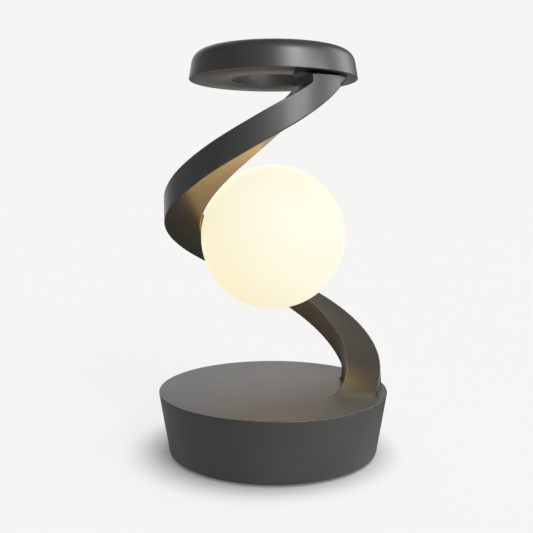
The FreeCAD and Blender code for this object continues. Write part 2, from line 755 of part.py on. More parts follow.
# battery cradle and its two cells, across the front half of the base
ZB = VALUE["plate_low"] + VALUE["plate_thick"] + VALUE["ballast_thick"]
CY = [-8.6, -8.6 - VALUE["cell_pitch"]]
tray = box(71.0, 2 * VALUE["cell_pitch"] + 2.4, 9.0, (-35.5, CY[1] - 11.0, ZB))
grooves = [cyl(D("cell_radius") + 0.05, VALUE["cell_length"] + 0.2, (-32.6, cy, ZB + 1.4 + VALUE["cell_radius"]), (1, 0, 0)) for cy in CY]
node(cut(tray, grooves), "battery_tray")
cells = []
for cy in CY:
    zc0 = ZB + 1.4 + VALUE["cell_radius"]
    c = cyl(D("cell_radius"), D("cell_length") - 1.2, (-32.5, cy, zc0), (1, 0, 0))
    tip = cyl(3.0, 1.2, (31.3, cy, zc0), (1, 0, 0))
    cells.append(fuse([c, tip]))
node(group(cells, "battery_cells"), "battery_cells")
ZS = ZB + 1.4 + VALUE["cell_radius"]
node(group([
    wire_run([(33.6, CY[0], ZS), (33.6, CY[0], 35.6), (33.6, 6.0, 33.5), (20.0, 16.0, 30.5), (10.2, 24.0, 27.5), (10.2, 27.0, 25.2)], 0.8),
    wire_run([(-33.6, CY[0], ZS), (-33.6, CY[0], 35.6), (-33.6, 6.0, 33.5), (-20.0, 16.0, 30.5), (5.8, 24.0, 27.5), (5.8, 27.0, 25.2)], 0.8),
], "battery_leads"), "battery_leads")
straps = []
for sx in (-26.0, 26.0):
    y0, y1, zt = CY[1] - 10.8, CY[0] + 10.8, ZS + VALUE["cell_radius"] + 0.05
    straps.append(box(3.0, y1 - y0, 0.8, (sx - 1.5, y0, zt)))
    straps.append(box(3.0, 0.8, zt - ZB - 9.0, (sx - 1.5, y0, ZB + 9.0)))
    straps.append(box(3.0, 0.8, zt - ZB - 9.0, (sx - 1.5, y1 - 0.8, ZB + 9.0)))
node(group([fuse(straps[0:3]), fuse(straps[3:6])], "battery_straps"), "battery_straps")

# control board on four posts
BX, BY = VALUE["board_wide"], VALUE["board_deep"]
ZP = VALUE["board_low"]
POSTS = [(-16.5, 28.0), (16.5, 28.0), (-16.5, 43.0), (16.5, 43.0)]
board = fuse([
    box(D("board_wide"), D("board_deep"), D("board_thick"), (-BX / 2, 24.0, D("board_low"))),
    box(11.0, 6.0, D("board_thick"), (SX - 5.5, 60.8, D("board_low"))),
])
notch = box(14.0, 3.0, 4.0, (7.6, 62.8, ZP - 1.0))
node(cut(board, [notch] + [cyl(1.3, 4.0, (x, y, ZP - 1.0)) for x, y in POSTS]), "main_board")
node(group([cut(prism(6, 2.6, ZP - ZB, (x, y, ZB)), [cyl(1.01, 4.0, (x, y, ZP - 3.5))]) for x, y in POSTS], "board_posts"), "board_posts")
node(group([cap_screw((x, y, ZP + 1.6), (0, 0, -1), 1.0, 4.6, 1.9, 1.5, 0.8) for x, y in POSTS], "board_screws"), "board_screws")
ZT = ZP + VALUE["board_thick"]
node(group([
    box(7.0, 7.0, 1.0, (-3.5, 44.0, ZT)),
    box(6.0, 6.0, 3.0, (-11.0, 33.0, ZT)),
    box(5.0, 5.0, 1.6, (2.0, 35.0, ZT)),
    cyl(2.5, 5.5, (-13.5, 50.0, ZT)),
    cyl(2.5, 5.5, (4.5, 55.0, ZT)),
    box(7.0, 4.5, 4.0, (4.5, 25.5, ZT)),
    box(5.0, 6.0, 5.8, (13.0, 33.0, ZT)),
], "board_parts"), "board_parts")

# charging socket
sock = cut(oval(SW, ST, 9.4, 61.8), [oval(SW - 0.6, ST - 0.6, 6.3, 65.0)])
tongue = box(6.7, 5.2, 0.7, (SX - 3.35, 64.5, SZ - 0.35))
node(fuse([sock, tongue]), "usb_socket")

# push switch: body on the board, sliding cap in the wall
BXC, BZC = VALUE["button_across"], VALUE["button_height"]
sw = box(7.0, 5.0, BZC + 3.2 - ZT, (BXC - 3.5, 57.5, ZT))
node(cut(sw, [cyl(1.28, 3.0, (BXC, 59.7, BZC), (0, 1, 0))]), "tact_switch")
cap = turned(None, [(0, 61.6), (1.2, 61.6), (1.2, 64.6), (5.6, 64.6), (5.6, 65.8), (D("button_radius"), 65.8), (D("button_radius"), 71.3), (D("button_radius") - 0.4, 71.7), (3.0, 71.7), (2.6, 71.45), (0, 71.45)])
place(cap, (D("button_across"), 0, D("button_height")), (0, 1, 0))
node(cap, "power_button")

node(group([cap_screw(polar(t, r, VALUE["base_top"] - VALUE["top_wall"]), (0, 0, 1), 2.0, 9.0, 3.5, 3.0, 1.7) for t, r in FOOT_SCREWS], "foot_screws"), "foot_screws")

# ---------------------------------------------------------------- head
HL, HT = D("head_low"), D("head_top")
cap = turned(None, [
    (D("head_radius"), HL), (D("head_top_radius"), HT), (D("head_hole"), HT), (D("head_hole"), HL),
    (D("head_hole") + 2.0, HL), (D("head_hole") + 2.0, HT - D("head_wall")), (42.5, HT - D("head_wall")),
    (48.6, HL + 10.2), (D("head_radius") - 2.6, HL),
])
cap.Label = "head_shell_turned"
cap = rounded(cap, D("head_round"), [(VALUE["head_top_radius"], VALUE["head_top"])])
cap = rounded(cap, 2.0, [(VALUE["head_hole"], VALUE["head_top"])])
cap = rounded(cap, 0.4, [(VALUE["head_radius"], VALUE["head_low"]), (VALUE["head_hole"], VALUE["head_low"])])
node(cap, "head_shell")
plate = turned(None, [
    (D("head_hole") + 2.05, HL), (51.2, HL), (50.5, HL + D("head_floor")), (D("head_hole") + 4.6, HL + D("head_floor")),
    (D("head_hole") + 4.6, HL + 6.0), (D("head_hole") + 2.05, HL + 6.0),
])
plate.Label = "head_plate_turned"
CLIPS = [20, 110, 200, 250]
node(cut(plate, [cyl(1.6, 6.0, polar(t, r, VALUE["head_low"] - 1.0)) for t, r in HEAD_SCREWS] + [cyl(0.9, 6.0, polar(a, 44.6, VALUE["head_low"] + 0.9)) for a in CLIPS]), "head_plate")
node(group([cap_screw(polar(t, r, VALUE["head_low"] + VALUE["head_floor"]), (0, 0, -1), 1.5, 9.5, 2.75, 2.5, 1.2) for t, r in HEAD_SCREWS], "head_screws"), "head_screws")
clips = []
rivets = []
for a in CLIPS:
    zf = VALUE["head_low"] + VALUE["head_floor"]
    ca, sa = math.cos(math.radians(a)), math.sin(math.radians(a))

    def at(r, t, z):
        return (r * ca - t * sa, r * sa + t * ca, z)

    foot = box(5.4, 8.0, 0.6, at(42.0, -4.0, zf), None, a)
    rise_ = box(0.6, 8.0, 6.2, at(46.8, -4.0, zf), None, a)
    hook = box(1.1, 8.0, 0.6, at(47.4, -4.0, zf + 5.0), None, a)
    clips.append(cut(fuse([foot, rise_, hook]), [cyl(0.9, 3.0, at(44.6, 0, zf - 1))]))
    rv = fuse([cyl(0.88, 2.2, at(44.6, 0, zf - 1.55)), cyl(1.6, 0.7, at(44.6, 0, zf + 0.6))])
    rivets.append(rv)
node(group(clips, "head_clips"), "head_clips")
node(group(rivets, "clip_rivets"), "clip_rivets")

# ---------------------------------------------------------------- magnetic dock, about its own axis
HOME = (0, 0, D("globe_height"))
cup = turned(None, [(D("rotor_radius") + D("rotor_play"), 48.3), (D("cup_radius"), 48.3), (D("cup_radius"), 58.2), (2.2, 58.2), (2.2, 57.0), (D("rotor_radius") + D("rotor_play"), 57.0)])
place(cup, HOME, DIRU)
node(cup, "dock_cup")
mag = turned(None, [(1.7, 50.9), (D("magnet_radius"), 50.9), (D("magnet_radius"), 56.9), (1.7, 56.9)])
place(mag, HOME, DIRU)
node(mag, "dock_magnet")
pin = turned(None, [(0, 46.6), (0.5, 46.6), (0.9, 47.0), (0.9, 51.2), (1.6, 51.2), (1.6, 57.6), (0, 57.6)])
place(pin, HOME, DIRU)
node(pin, "dock_pin")
rotor = turned(None, [(0.96, D("dock_face")), (D("rotor_radius") - 0.4, D("dock_face")), (D("rotor_radius"), D("dock_face") + 0.4), (D("rotor_radius"), 50.6), (0.96, 50.6)])
place(rotor, HOME, DIRU)
node(rotor, "dock_rotor")

# ---------------------------------------------------------------- globe, about the dock's axis
gs = cut(ball(D("globe_radius")), [ball(D("globe_radius") - D("globe_wall")), cyl(D("mouth_radius"), 60.0)])
place(gs, HOME, DIRU)
node(gs, "globe_diffuser")
lens = common([ball(D("globe_radius")), cyl(D("mouth_radius") - 0.05, 20.0, (0, 0, 43.4))])
flat_top = cyl(20.0, 5.0, (0, 0, 46.42))
lens = cut(lens, [flat_top])
neck = cyl(8.0, 5.4, (0, 0, 38.2))
socket_r = cyl(7.5, 2.4, (0, 0, 43.0))
CAPS = [90, 210, 330]
cap_holes = [cyl(5.6, 4.5, (0, 0, 40.9)), cyl(1.25, 10.0, (0, 0, 40.0)), cyl(3.05, 6.0, (0, 0, 37.0))]
for a in CAPS:
    x, y, _ = polar(a, 10.3, 0)
    cap_holes.append(cyl(0.85, 8.0, (x, y, 40.0)))
    cap_holes.append(cyl(1.7, 5.0, (x, y, 44.75)))
capobj = cut(fuse([lens, neck, socket_r]), cap_holes)
place(capobj, HOME, DIRU)
node(capobj, "globe_cap")
collar = turned(None, [(8.1, 40.2), (15.2, 40.2), (16.2, 41.8), (13.2, 42.95), (12.9, 42.95), (12.9, 43.35), (8.1, 43.35)])
collar.Label = "collar_turned"
collar = cut(collar, [cyl(0.8, 6.0, (polar(a, 10.3, 39.5))) for a in CAPS])
place(collar, HOME, DIRU)
node(collar, "globe_collar")
cs = group([cap_screw(polar(a, 10.3, 44.75), (0, 0, -1), 0.78, 4.3, 1.5, 0.6, 0.6) for a in CAPS], "cap_screws_local")
place(cs, HOME, DIRU)
node(cs, "cap_screws")
keeper = turned(None, [(1.6, 41.3), (5.5, 41.3), (5.5, 45.3), (1.6, 45.3)])
place(keeper, HOME, DIRU)
node(keeper, "globe_keeper")
contact = turned(None, [(0, 40.8), (1.2, 40.8), (1.2, 46.4), (0, 46.4)])
place(contact, HOME, DIRU)
node(contact, "globe_contact")
post = turned(None, [(2.2, D("hub_half") - 1.0), (3.0, D("hub_half") - 1.0), (3.0, 40.6), (2.2, 40.6)])
place(post, HOME, DIRU)
node(post, "led_post")
HR, HH = VALUE["hub_radius"], VALUE["hub_half"]
hub = cut(prism(8, D("hub_radius"), D("hub_half") * 2, (0, 0, -D("hub_half")), None, 22.5), [cyl(3.02, 12.0, (0, 0, D("hub_half") - 1.0)), cyl(1.6, 16.0, (0, 0, -HH + 3.0))])
place(hub, HOME, DIRU)
node(hub, "led_hub")
leds = []
flat_r = HR * math.cos(math.pi / 8)
for k in range(8):
    a = 45.0 * k
    ca, sa = math.cos(math.radians(a)), math.sin(math.radians(a))
    for zz in (-5.6, 2.0):
        leds.append(box(0.7, 3.2, 3.2, ((flat_r + 0.01) * ca + 1.6 * sa, (flat_r + 0.01) * sa - 1.6 * ca, zz), None, a))
leds.append(box(3.2, 3.2, 0.7, (-1.6, -1.6, -HH - 0.71)))
lg = group(leds, "leds_local")
place(lg, HOME, DIRU)
node(lg, "led_emitters")
lw = group([cyl(0.55, 37.0, (0.9, 0, 3.6)), cyl(0.55, 37.0, (-0.9, 0, 3.6))], "wires_local")
place(lw, HOME, DIRU)
node(lw, "led_wires")

# ---------------------------------------------------------------- checks and files
doc.recompute()
bad = []
for o in doc.Objects:
    state = [s for s in o.State if s in ("Invalid", "Error")]
    if state:
        bad.append((o.Name, o.Label, state))
    if hasattr(o, "Shape") and o.TypeId.startswith(("Part::", "PartDesign::Body")) and o.TypeId != "Part::Part2DObjectPython":
        if o.Shape.isNull() or not o.Shape.isValid():
            bad.append((o.Name, o.Label, "shape"))
print("BAD", bad)
if bad:
    raise RuntimeError("some objects are not sound: %r" % (bad,))
seen = set()
for label, obj in NODES:
    if label in seen:
        raise RuntimeError("label used twice: " + label)
    seen.add(label)
    shp = obj.Shape
    bb = shp.BoundBox
    print("%-18s solids %2d vol %9.1f  x %.1f %.1f y %.1f %.1f z %.1f %.1f" % (label, len(shp.Solids), shp.Volume, bb.XMin, bb.XMax, bb.YMin, bb.YMax, bb.ZMin, bb.ZMax))
    shp.exportStep("parts/%s.step" % label)
print("NODES", len(NODES))
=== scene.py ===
import math

import bmesh
import bpy
from mathutils import Matrix, Vector


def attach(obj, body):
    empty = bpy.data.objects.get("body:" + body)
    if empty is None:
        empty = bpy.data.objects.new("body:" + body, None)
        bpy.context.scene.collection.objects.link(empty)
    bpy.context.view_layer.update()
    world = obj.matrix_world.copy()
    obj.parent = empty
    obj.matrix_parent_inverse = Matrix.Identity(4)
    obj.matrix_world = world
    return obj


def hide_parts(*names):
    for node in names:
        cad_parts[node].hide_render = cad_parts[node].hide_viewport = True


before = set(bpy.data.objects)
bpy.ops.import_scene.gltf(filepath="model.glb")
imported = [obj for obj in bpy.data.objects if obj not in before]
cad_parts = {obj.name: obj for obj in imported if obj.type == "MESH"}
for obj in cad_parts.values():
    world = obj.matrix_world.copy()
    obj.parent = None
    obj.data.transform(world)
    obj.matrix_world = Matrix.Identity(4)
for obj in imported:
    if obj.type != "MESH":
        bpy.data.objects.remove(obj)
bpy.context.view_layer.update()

MM = 0.001

# ------------------------------------------------------------------ camera
CAM_D, CAM_Z = 0.4837, 0.1726
PITCH, YAW = 0.1038, -0.0089


def make_camera():
    cam_data = bpy.data.cameras.new("camera")
    cam_data.lens = 50.0
    cam_data.sensor_fit = "HORIZONTAL"
    cam_data.sensor_width = 36.0
    cam_data.clip_start = 0.01
    cam_data.clip_end = 100.0
    cam = bpy.data.objects.new("camera", cam_data)
    bpy.context.scene.collection.objects.link(cam)
    f = Vector((math.sin(YAW) * math.cos(PITCH), math.cos(YAW) * math.cos(PITCH), -math.sin(PITCH)))
    r = Vector((math.cos(YAW), -math.sin(YAW), 0.0))
    u = r.cross(f)
    m = Matrix((
        (r.x, u.x, -f.x, 0.0),
        (r.y, u.y, -f.y, -CAM_D),
        (r.z, u.z, -f.z, CAM_Z),
        (0, 0, 0, 1),
    ))
    cam.matrix_world = m
    bpy.context.scene.camera = cam
    return cam


make_camera()

# ------------------------------------------------------------------ dimensions, as in the CAD (mm)
BASE_TOP = 41.5
HEAD_LOW = 241.8
HEAD_TOP = 259.5
TALL = 17.4
WIDE_LOW, WIDE_HIGH = 23.2, 23.6
RF = 6.4
RAMP_HALF, ROOF_SKEW, WALL_LEAN, WALL_SPREAD = 21.0, 8.0, 2.0, 0.4
T_NECK_H, R_LOW, R_HIGH = 295.3, 1.4, 2.8
GLOBE_Z, GLOBE_R, GLOBE_WALL, MOUTH_R = 141.7, 46.9, 1.8, 13.0
DOCK_AZ = math.radians(155.0)
DIRU = Vector((math.cos(DOCK_AZ), math.sin(DOCK_AZ), 0.0))
GUIDE = [
    (-45, 69.7, -21.4), (-30, 70.3, -10.5), (-15, 71.1, 0.4), (0, 72.2, 11.3), (15, 73.9, 22.2),
    (30, 74.6, 33.0), (45, 74.6, 43.2), (60, 74.4, 52.9), (75, 73.9, 62.0), (90, 73.4, 71.0),
    (105, 73.1, 80.1), (120, 72.9, 88.9), (135, 72.8, 97.6), (150, 72.5, 106.5), (165, 71.9, 115.5),
    (180, 71.0, 124.4), (195, 69.5, 132.9), (210, 68.3, 141.6), (225, 67.0, 150.6), (240, 65.5, 159.9),
    (255, 62.9, 169.3), (270, 59.6, 178.5), (285, 55.8, 187.0), (300, 52.5, 195.4), (315, 50.2, 203.6),
    (330, 49.0, 212.1), (345, 48.4, 221.1),
]


def spline(xs, ys):
    n = len(xs)
    h = [xs[i + 1] - xs[i] for i in range(n - 1)]
    a, b, c, d = [0.0] * n, [1.0] * n, [0.0] * n, [0.0] * n
    for i in range(1, n - 1):
        a[i] = h[i - 1]
        b[i] = 2.0 * (h[i - 1] + h[i])
        c[i] = h[i]
        d[i] = 6.0 * ((ys[i + 1] - ys[i]) / h[i] - (ys[i] - ys[i - 1]) / h[i - 1])
    for i in range(1, n):
        w = a[i] / b[i - 1]
        b[i] -= w * c[i - 1]
        d[i] -= w * d[i - 1]
    m = [0.0] * n
    for i in range(n - 2, 0, -1):
        m[i] = (d[i] - c[i] * m[i + 1]) / b[i]

    def f(x):
        i = 0
        while i < n - 2 and x > xs[i + 1]:
            i += 1
        t0, t1 = xs[i + 1] - x, x - xs[i]
        return (
            m[i] * t0 ** 3 / (6 * h[i])
            + m[i + 1] * t1 ** 3 / (6 * h[i])
            + (ys[i] / h[i] - m[i] * h[i] / 6) * t0
            + (ys[i + 1] / h[i] - m[i + 1] * h[i] / 6) * t1
        )

    return f


DEG = [float(g[0]) for g in GUIDE]
outer_at = spline(DEG, [g[1] for g in GUIDE])
upper_raw = spline(DEG, [g[2] for g in GUIDE])


def inner_at(t):
    wide = WIDE_LOW + (WIDE_HIGH - WIDE_LOW) * min(max(t, 0.0), 180.0) / 180.0
    r = outer_at(t) - wide
    if t < 0:
        r += (t / 30.0) * 3.2
    floor = 26.9
    if t > 270 and r < floor + 1.5:
        k = floor + 1.5 - r
        r = floor + 1.5 - 1.5 * (1 - math.exp(-k / 1.5))
    return r


def upper_at(t):
    return BASE_TOP + upper_raw(t)


def lower_at(t):
    return upper_at(t) - TALL


def crossing(f, level, lo, hi):
    for _ in range(60):
        mid = 0.5 * (lo + hi)
        if f(mid) < level:
            lo = mid
        else:
            hi = mid
    return 0.5 * (lo + hi)


T_TOP_IN = crossing(upper_at, BASE_TOP, -40, 40)
T_LOW_IN = crossing(lower_at, BASE_TOP, -40, 60)
T_RAMP0, T_RAMP1 = T_TOP_IN - RAMP_HALF, T_TOP_IN + RAMP_HALF
RAMP_A = (upper_at(T_RAMP1) - BASE_TOP) / (T_RAMP1 - T_RAMP0) ** 2


def roof_at(t):
    if t < T_RAMP1:
        return BASE_TOP + RAMP_A * (t - T_RAMP0) ** 2
    return upper_at(t)


T_START = T_RAMP0 + math.sqrt(0.03 / RAMP_A)
SC_F = 60.0 * math.pi / 180.0
AL_F = math.atan((lower_at(T_LOW_IN + 10) - lower_at(T_LOW_IN)) / 10.0 / SC_F)
TAN_F = RF / math.tan(AL_F / 2)
T_NECK = T_LOW_IN + (TAN_F - RF) / SC_F
SC_H = 50.0 * math.pi / 180.0
AL_H = math.atan((upper_at(T_NECK_H) - upper_at(T_NECK_H - 10)) / 10.0 / SC_H)
Z_NECK_LOW = upper_at(T_NECK_H) + R_LOW * (1.0 / math.cos(AL_H) - math.tan(AL_H))
Z_NECK_HIGH = HEAD_LOW - R_HIGH
T_END = crossing(lower_at, HEAD_LOW - 0.3, 300, 344)


def ease(k):
    k = min(1.0, max(0.0, k))
    return k * k * (3 - 2 * k)


def foot_point(t, q, z):
    """A point of the foot: t is the station of its inner wall, q runs from the inner to the outer wall.

    Towards its end the foot's section is skewed from the radius and its outer wall leans in."""
    t_out = t + ROOF_SKEW * ease((-5.0 - t) / 26.0)
    k = ease((12.0 - t_out) / 30.0)
    up = (z - BASE_TOP) / (roof_at(t) - BASE_TOP)
    p_in, p_out = polar(t, inner_at(t), 0), polar(t_out, outer_at(t_out), 0)
    d = p_out - p_in
    wide = d.length + (WALL_SPREAD * k - (WALL_SPREAD + WALL_LEAN) * k * up) * MM
    p = p_in + d.normalized() * wide * q
    return Vector((p.x, p.y, z * MM))


def steps(a, b, step):
    n = max(2, int(math.ceil(abs(b - a) / step)) + 1)
    return [a + (b - a) * i / (n - 1) for i in range(n)]


def polar(t, r, z):
    a = math.radians(t)
    return Vector((r * math.cos(a) * MM, r * math.sin(a) * MM, z * MM))


# ------------------------------------------------------------------ mesh helpers
def add_object(name, mesh, body, node=None, material=None, smooth=True):
    ob = bpy.data.objects.new(name, mesh)
    bpy.context.scene.collection.objects.link(ob)
    if smooth:
        for p in mesh.polygons:
            p.use_smooth = True
    if material:
        mesh.materials.append(material)
    if body:
        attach(ob, body)
    if node:
        for n in node if isinstance(node, (list, tuple)) else [node]:
            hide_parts(n)
    return ob


def sharpen(ob, degrees):
    """Smooth shading with a break at every edge sharper than this."""
    me = ob.data
    for p in me.polygons:
        p.use_smooth = True
    me.set_sharp_from_angle(angle=math.radians(degrees))


def fillet_profile(points, radii, steps_per=6):
    """A closed outline with each corner rounded by its radius."""
    out = []
    n = len(points)
    for i in range(n):
        p0, p1, p2 = Vector(points[i - 1]), Vector(points[i]), Vector(points[(i + 1) % n])
        r = radii[i]
        d0, d2 = (p0 - p1), (p2 - p1)
        if r <= 0 or d0.length < 1e-9 or d2.length < 1e-9:
            out.append(p1)
            continue
        d0n, d2n = d0.normalized(), d2.normalized()
        ang = d0n.angle(d2n)
        t = min(r / math.tan(ang / 2), 0.49 * d0.length if radii[i - 1] > 0 else 0.98 * d0.length,
                0.49 * d2.length if radii[(i + 1) % n] > 0 else 0.98 * d2.length)
        r = t * math.tan(ang / 2)
        a, b = p1 + d0n * t, p1 + d2n * t
        c = p1 + (d0n + d2n).normalized() * (r / math.sin(ang / 2))
        va, vb = a - c, b - c
        sweep = va.angle(vb)
        k = max(2, int(round(steps_per * sweep / (math.pi / 2))) + 1)
        cross = va.x * vb.y - va.y * vb.x
        sgn = 1.0 if cross > 0 else -1.0
        for j in range(k + 1):
            an = sgn * sweep * j / k
            ca, sa = math.cos(an), math.sin(an)
            out.append(c + Vector((va.x * ca - va.y * sa, va.x * sa + va.y * ca)))
    return [(p.x, p.y) for p in out]


def lathe_mesh(name, profile, segments=192, matrix=None, closed=True):
    """Revolves an outline of (radius, height) in mm about the Z axis."""
    bm = bmesh.new()
    rings = []
    for r, z in profile:
        if r < 1e-6:
            rings.append([bm.verts.new((0, 0, z * MM))])
        else:
            rings.append([
                bm.verts.new((r * MM * math.cos(2 * math.pi * k / segments), r * MM * math.sin(2 * math.pi * k / segments), z * MM))
                for k in range(segments)
            ])
    pairs = list(zip(rings, rings[1:])) + ([(rings[-1], rings[0])] if closed else [])
    for a, b in pairs:
        if len(a) == 1 and len(b) == 1:
            continue
        for k in range(segments):
            k2 = (k + 1) % segments
            if len(a) == 1:
                bm.faces.new((a[0], b[k2], b[k]))
            elif len(b) == 1:
                bm.faces.new((a[k], a[k2], b[0]))
            else:
                bm.faces.new((a[k], a[k2], b[k2], b[k]))
    bmesh.ops.recalc_face_normals(bm, faces=bm.faces)
    if matrix is not None:
        bmesh.ops.transform(bm, matrix=matrix, verts=bm.verts)
    me = bpy.data.meshes.new(name)
    bm.to_mesh(me)
    bm.free()
    return me


def dock_matrix(z=GLOBE_Z):
    """Local Z lies along the dock's axis, the origin is the globe's centre."""
    zax = DIRU
    xax = Vector((0, 0, 1)).cross(zax).normalized()
    yax = zax.cross(xax)
    return Matrix((
        (xax.x, yax.x, zax.x, 0),
        (xax.y, yax.y, zax.y, 0),
        (xax.z, yax.z, zax.z, z * MM),
        (0, 0, 0, 1),
    ))


# ------------------------------------------------------------------ materials
def new_material(name):
    m = bpy.data.materials.new(name)
    m.use_nodes = True
    nt = m.node_tree
    for n in list(nt.nodes):
        nt.nodes.remove(n)
    out = nt.nodes.new("ShaderNodeOutputMaterial")
    bsdf = nt.nodes.new("ShaderNodeBsdfPrincipled")
    nt.links.new(bsdf.outputs["BSDF"], out.inputs["Surface"])
    return m, nt, bsdf


def ramp(nt, fac, stops):
    r = nt.nodes.new("ShaderNodeValToRGB")
    while len(r.color_ramp.elements) > 1:
        r.color_ramp.elements.remove(r.color_ramp.elements[-1])
    r.color_ramp.elements[0].position = stops[0][0]
    r.color_ramp.elements[0].color = (*stops[0][1], 1.0)
    for p, c in stops[1:]:
        e = r.color_ramp.elements.new(p)
        e.color = (*c, 1.0)
    nt.links.new(fac, r.inputs["Fac"])
    return r.outputs["Color"]


def map_range(nt, value, lo, hi):
    r = nt.nodes.new("ShaderNodeMapRange")
    r.inputs["To Min"].default_value = lo
    r.inputs["To Max"].default_value = hi
    nt.links.new(value, r.inputs["Value"])
    return r.outputs["Result"]


def noise(nt, scale, detail=2.0, rough=0.5, vector=None, dims="3D"):
    n = nt.nodes.new("ShaderNodeTexNoise")
    n.noise_dimensions = dims
    n.inputs["Scale"].default_value = scale
    n.inputs["Detail"].default_value = detail
    n.inputs["Roughness"].default_value = rough
    if vector is not None:
        nt.links.new(vector, n.inputs["Vector"])
    return n.outputs["Fac"]


def object_vector(nt, stretch=(1, 1, 1)):
    tc = nt.nodes.new("ShaderNodeTexCoord")
    mp = nt.nodes.new("ShaderNodeMapping")
    mp.inputs["Scale"].default_value = stretch
    nt.links.new(tc.outputs["Object"], mp.inputs["Vector"])
    return mp.outputs["Vector"]


def add_bump(nt, bsdf, height, strength, distance):
    b = nt.nodes.new("ShaderNodeBump")
    b.inputs["Strength"].default_value = strength
    b.inputs["Distance"].default_value = distance
    nt.links.new(height, b.inputs["Height"])
    nt.links.new(b.outputs["Normal"], bsdf.inputs["Normal"])
    return b


def paint(name, color, rough=(0.36, 0.42), metallic=0.0, grain=2200.0, bump=0.10, spread=0.06):
    """Satin sprayed metal paint: faint mottling, fine orange peel."""
    m, nt, bsdf = new_material(name)
    v = object_vector(nt)
    big = noise(nt, 26.0, 3.0, 0.55, v)
    fine = noise(nt, grain, 2.0, 0.6, v)
    lo = tuple(c * (1 - spread) for c in color)
    hi = tuple(min(1.0, c * (1 + spread)) for c in color)
    nt.links.new(ramp(nt, big, [(0.3, lo), (0.7, hi)]), bsdf.inputs["Base Color"])
    nt.links.new(map_range(nt, big, *rough), bsdf.inputs["Roughness"])
    bsdf.inputs["Metallic"].default_value = metallic
    bsdf.inputs["Specular IOR Level"].default_value = 0.5
    add_bump(nt, bsdf, fine, bump, 0.00004)
    return m


def simple(name, color, rough=(0.4, 0.5), metallic=0.0, scale=400.0, bump=0.15, spread=0.08, dist=0.00005, stretch=(1, 1, 1)):
    m, nt, bsdf = new_material(name)
    v = object_vector(nt, stretch)
    n1 = noise(nt, scale * 0.2, 3.0, 0.6, v)
    n2 = noise(nt, scale, 2.0, 0.5, v)
    lo = tuple(c * (1 - spread) for c in color)
    hi = tuple(min(1.0, c * (1 + spread)) for c in color)
    nt.links.new(ramp(nt, n1, [(0.3, lo), (0.7, hi)]), bsdf.inputs["Base Color"])
    nt.links.new(map_range(nt, n2, *rough), bsdf.inputs["Roughness"])
    bsdf.inputs["Metallic"].default_value = metallic
    add_bump(nt, bsdf, n2, bump, dist)
    return m


def globe_material():
    """Opal diffuser lit from inside: cream, fainter and yellower towards its dock and its foot."""
    m, nt, bsdf = new_material("opal_glow")
    tc = nt.nodes.new("ShaderNodeTexCoord")
    # distance along the direction that points to the dock and down
    dot = nt.nodes.new("ShaderNodeVectorMath")
    dot.operation = "DOT_PRODUCT"
    d = (DIRU * 0.85 + Vector((0, 0, -0.53))).normalized()
    dot.inputs[1].default_value = (d.x, d.y, d.z)
    sub = nt.nodes.new("ShaderNodeVectorMath")
    sub.operation = "SUBTRACT"
    sub.inputs[1].default_value = (0, 0, GLOBE_Z * MM)
    nt.links.new(tc.outputs["Object"], sub.inputs[0])
    nt.links.new(sub.outputs["Vector"], dot.inputs[0])
    mr = nt.nodes.new("ShaderNodeMapRange")
    mr.interpolation_type = "SMOOTHSTEP"
    mr.inputs["From Min"].default_value = -0.030
    mr.inputs["From Max"].default_value = 0.047
    nt.links.new(dot.outputs["Value"], mr.inputs["Value"])
    col = ramp(nt, mr.outputs["Result"], [(0.0, GLOW_A), (0.5, GLOW_B), (1.0, GLOW_C)])
    nt.links.new(col, bsdf.inputs["Emission Color"])
    bsdf.inputs["Emission Strength"].default_value = GLOW_STRENGTH
    bsdf.inputs["Base Color"].default_value = (0.04, 0.038, 0.032, 1.0)
    bsdf.inputs["Roughness"].default_value = 0.5
    bsdf.inputs["Specular IOR Level"].default_value = 0.2
    fine = noise(nt, 1400.0, 2.0, 0.5, tc.outputs["Object"])
    add_bump(nt, bsdf, fine, 0.08, 0.00004)
    return m


GLOW_A = (0.93, 0.89, 0.72)
GLOW_B = (0.93, 0.87, 0.64)
GLOW_C = (0.93, 0.84, 0.56)
GLOW_STRENGTH = 1.0
PAINT = (0.030, 0.0297, 0.0292)
GLOBE_POWER = 0.147
GLOBE_TINT = (1.0, 0.47, 0.0)
# studio light: strength, azimuth, full within, gone at (degrees), elevations (rise from, to, fall from, to)
WORLD_PATCHES = [
    (0.05, None, 0, 0, None),
    (21.0, -58, 6, 18, (14, 31, 38, 57)),
    (0.93, 102, 16, 33, (-15, -5, 42, 57)),
    (4.6, 25, 6, 19, (-4, 11, 31, 47)),
    (0.35, 153, 33, 55, (-28, -18, 20, 35)),
    (17.0, -30, 6, 18, (-3, 10, 14, 27)),
]
# warm light that comes up from the floor: strength, tint, the elevations over which it fades out, and its azimuths
BOUNCE = 0.43
BOUNCE_TINT = (1.0, 0.98, 0.88)
BOUNCE_SPAN = (-30, -12)
BOUNCE_AZIMUTH = (-79, 132, 180)
DOWN_POWER = 0.26
DOWN_TINT = (1.0, 0.75, 0.28)
FOOT_POWER = 0.21
FOOT_TINT = (1.0, 0.64, 0.2)
BACKDROP = 0.913
FLOOR_ALBEDO = 0.08
# overhead softbox over the floor: strength, half width, lean to the right and to the front (degrees)
OVERHEAD = [(27.0, 25.0, 8.0, -1.0)]


def smooth(v, lo, hi):
    k = min(1.0, max(0.0, (v - lo) / (hi - lo)))
    return k * k * (3 - 2 * k)


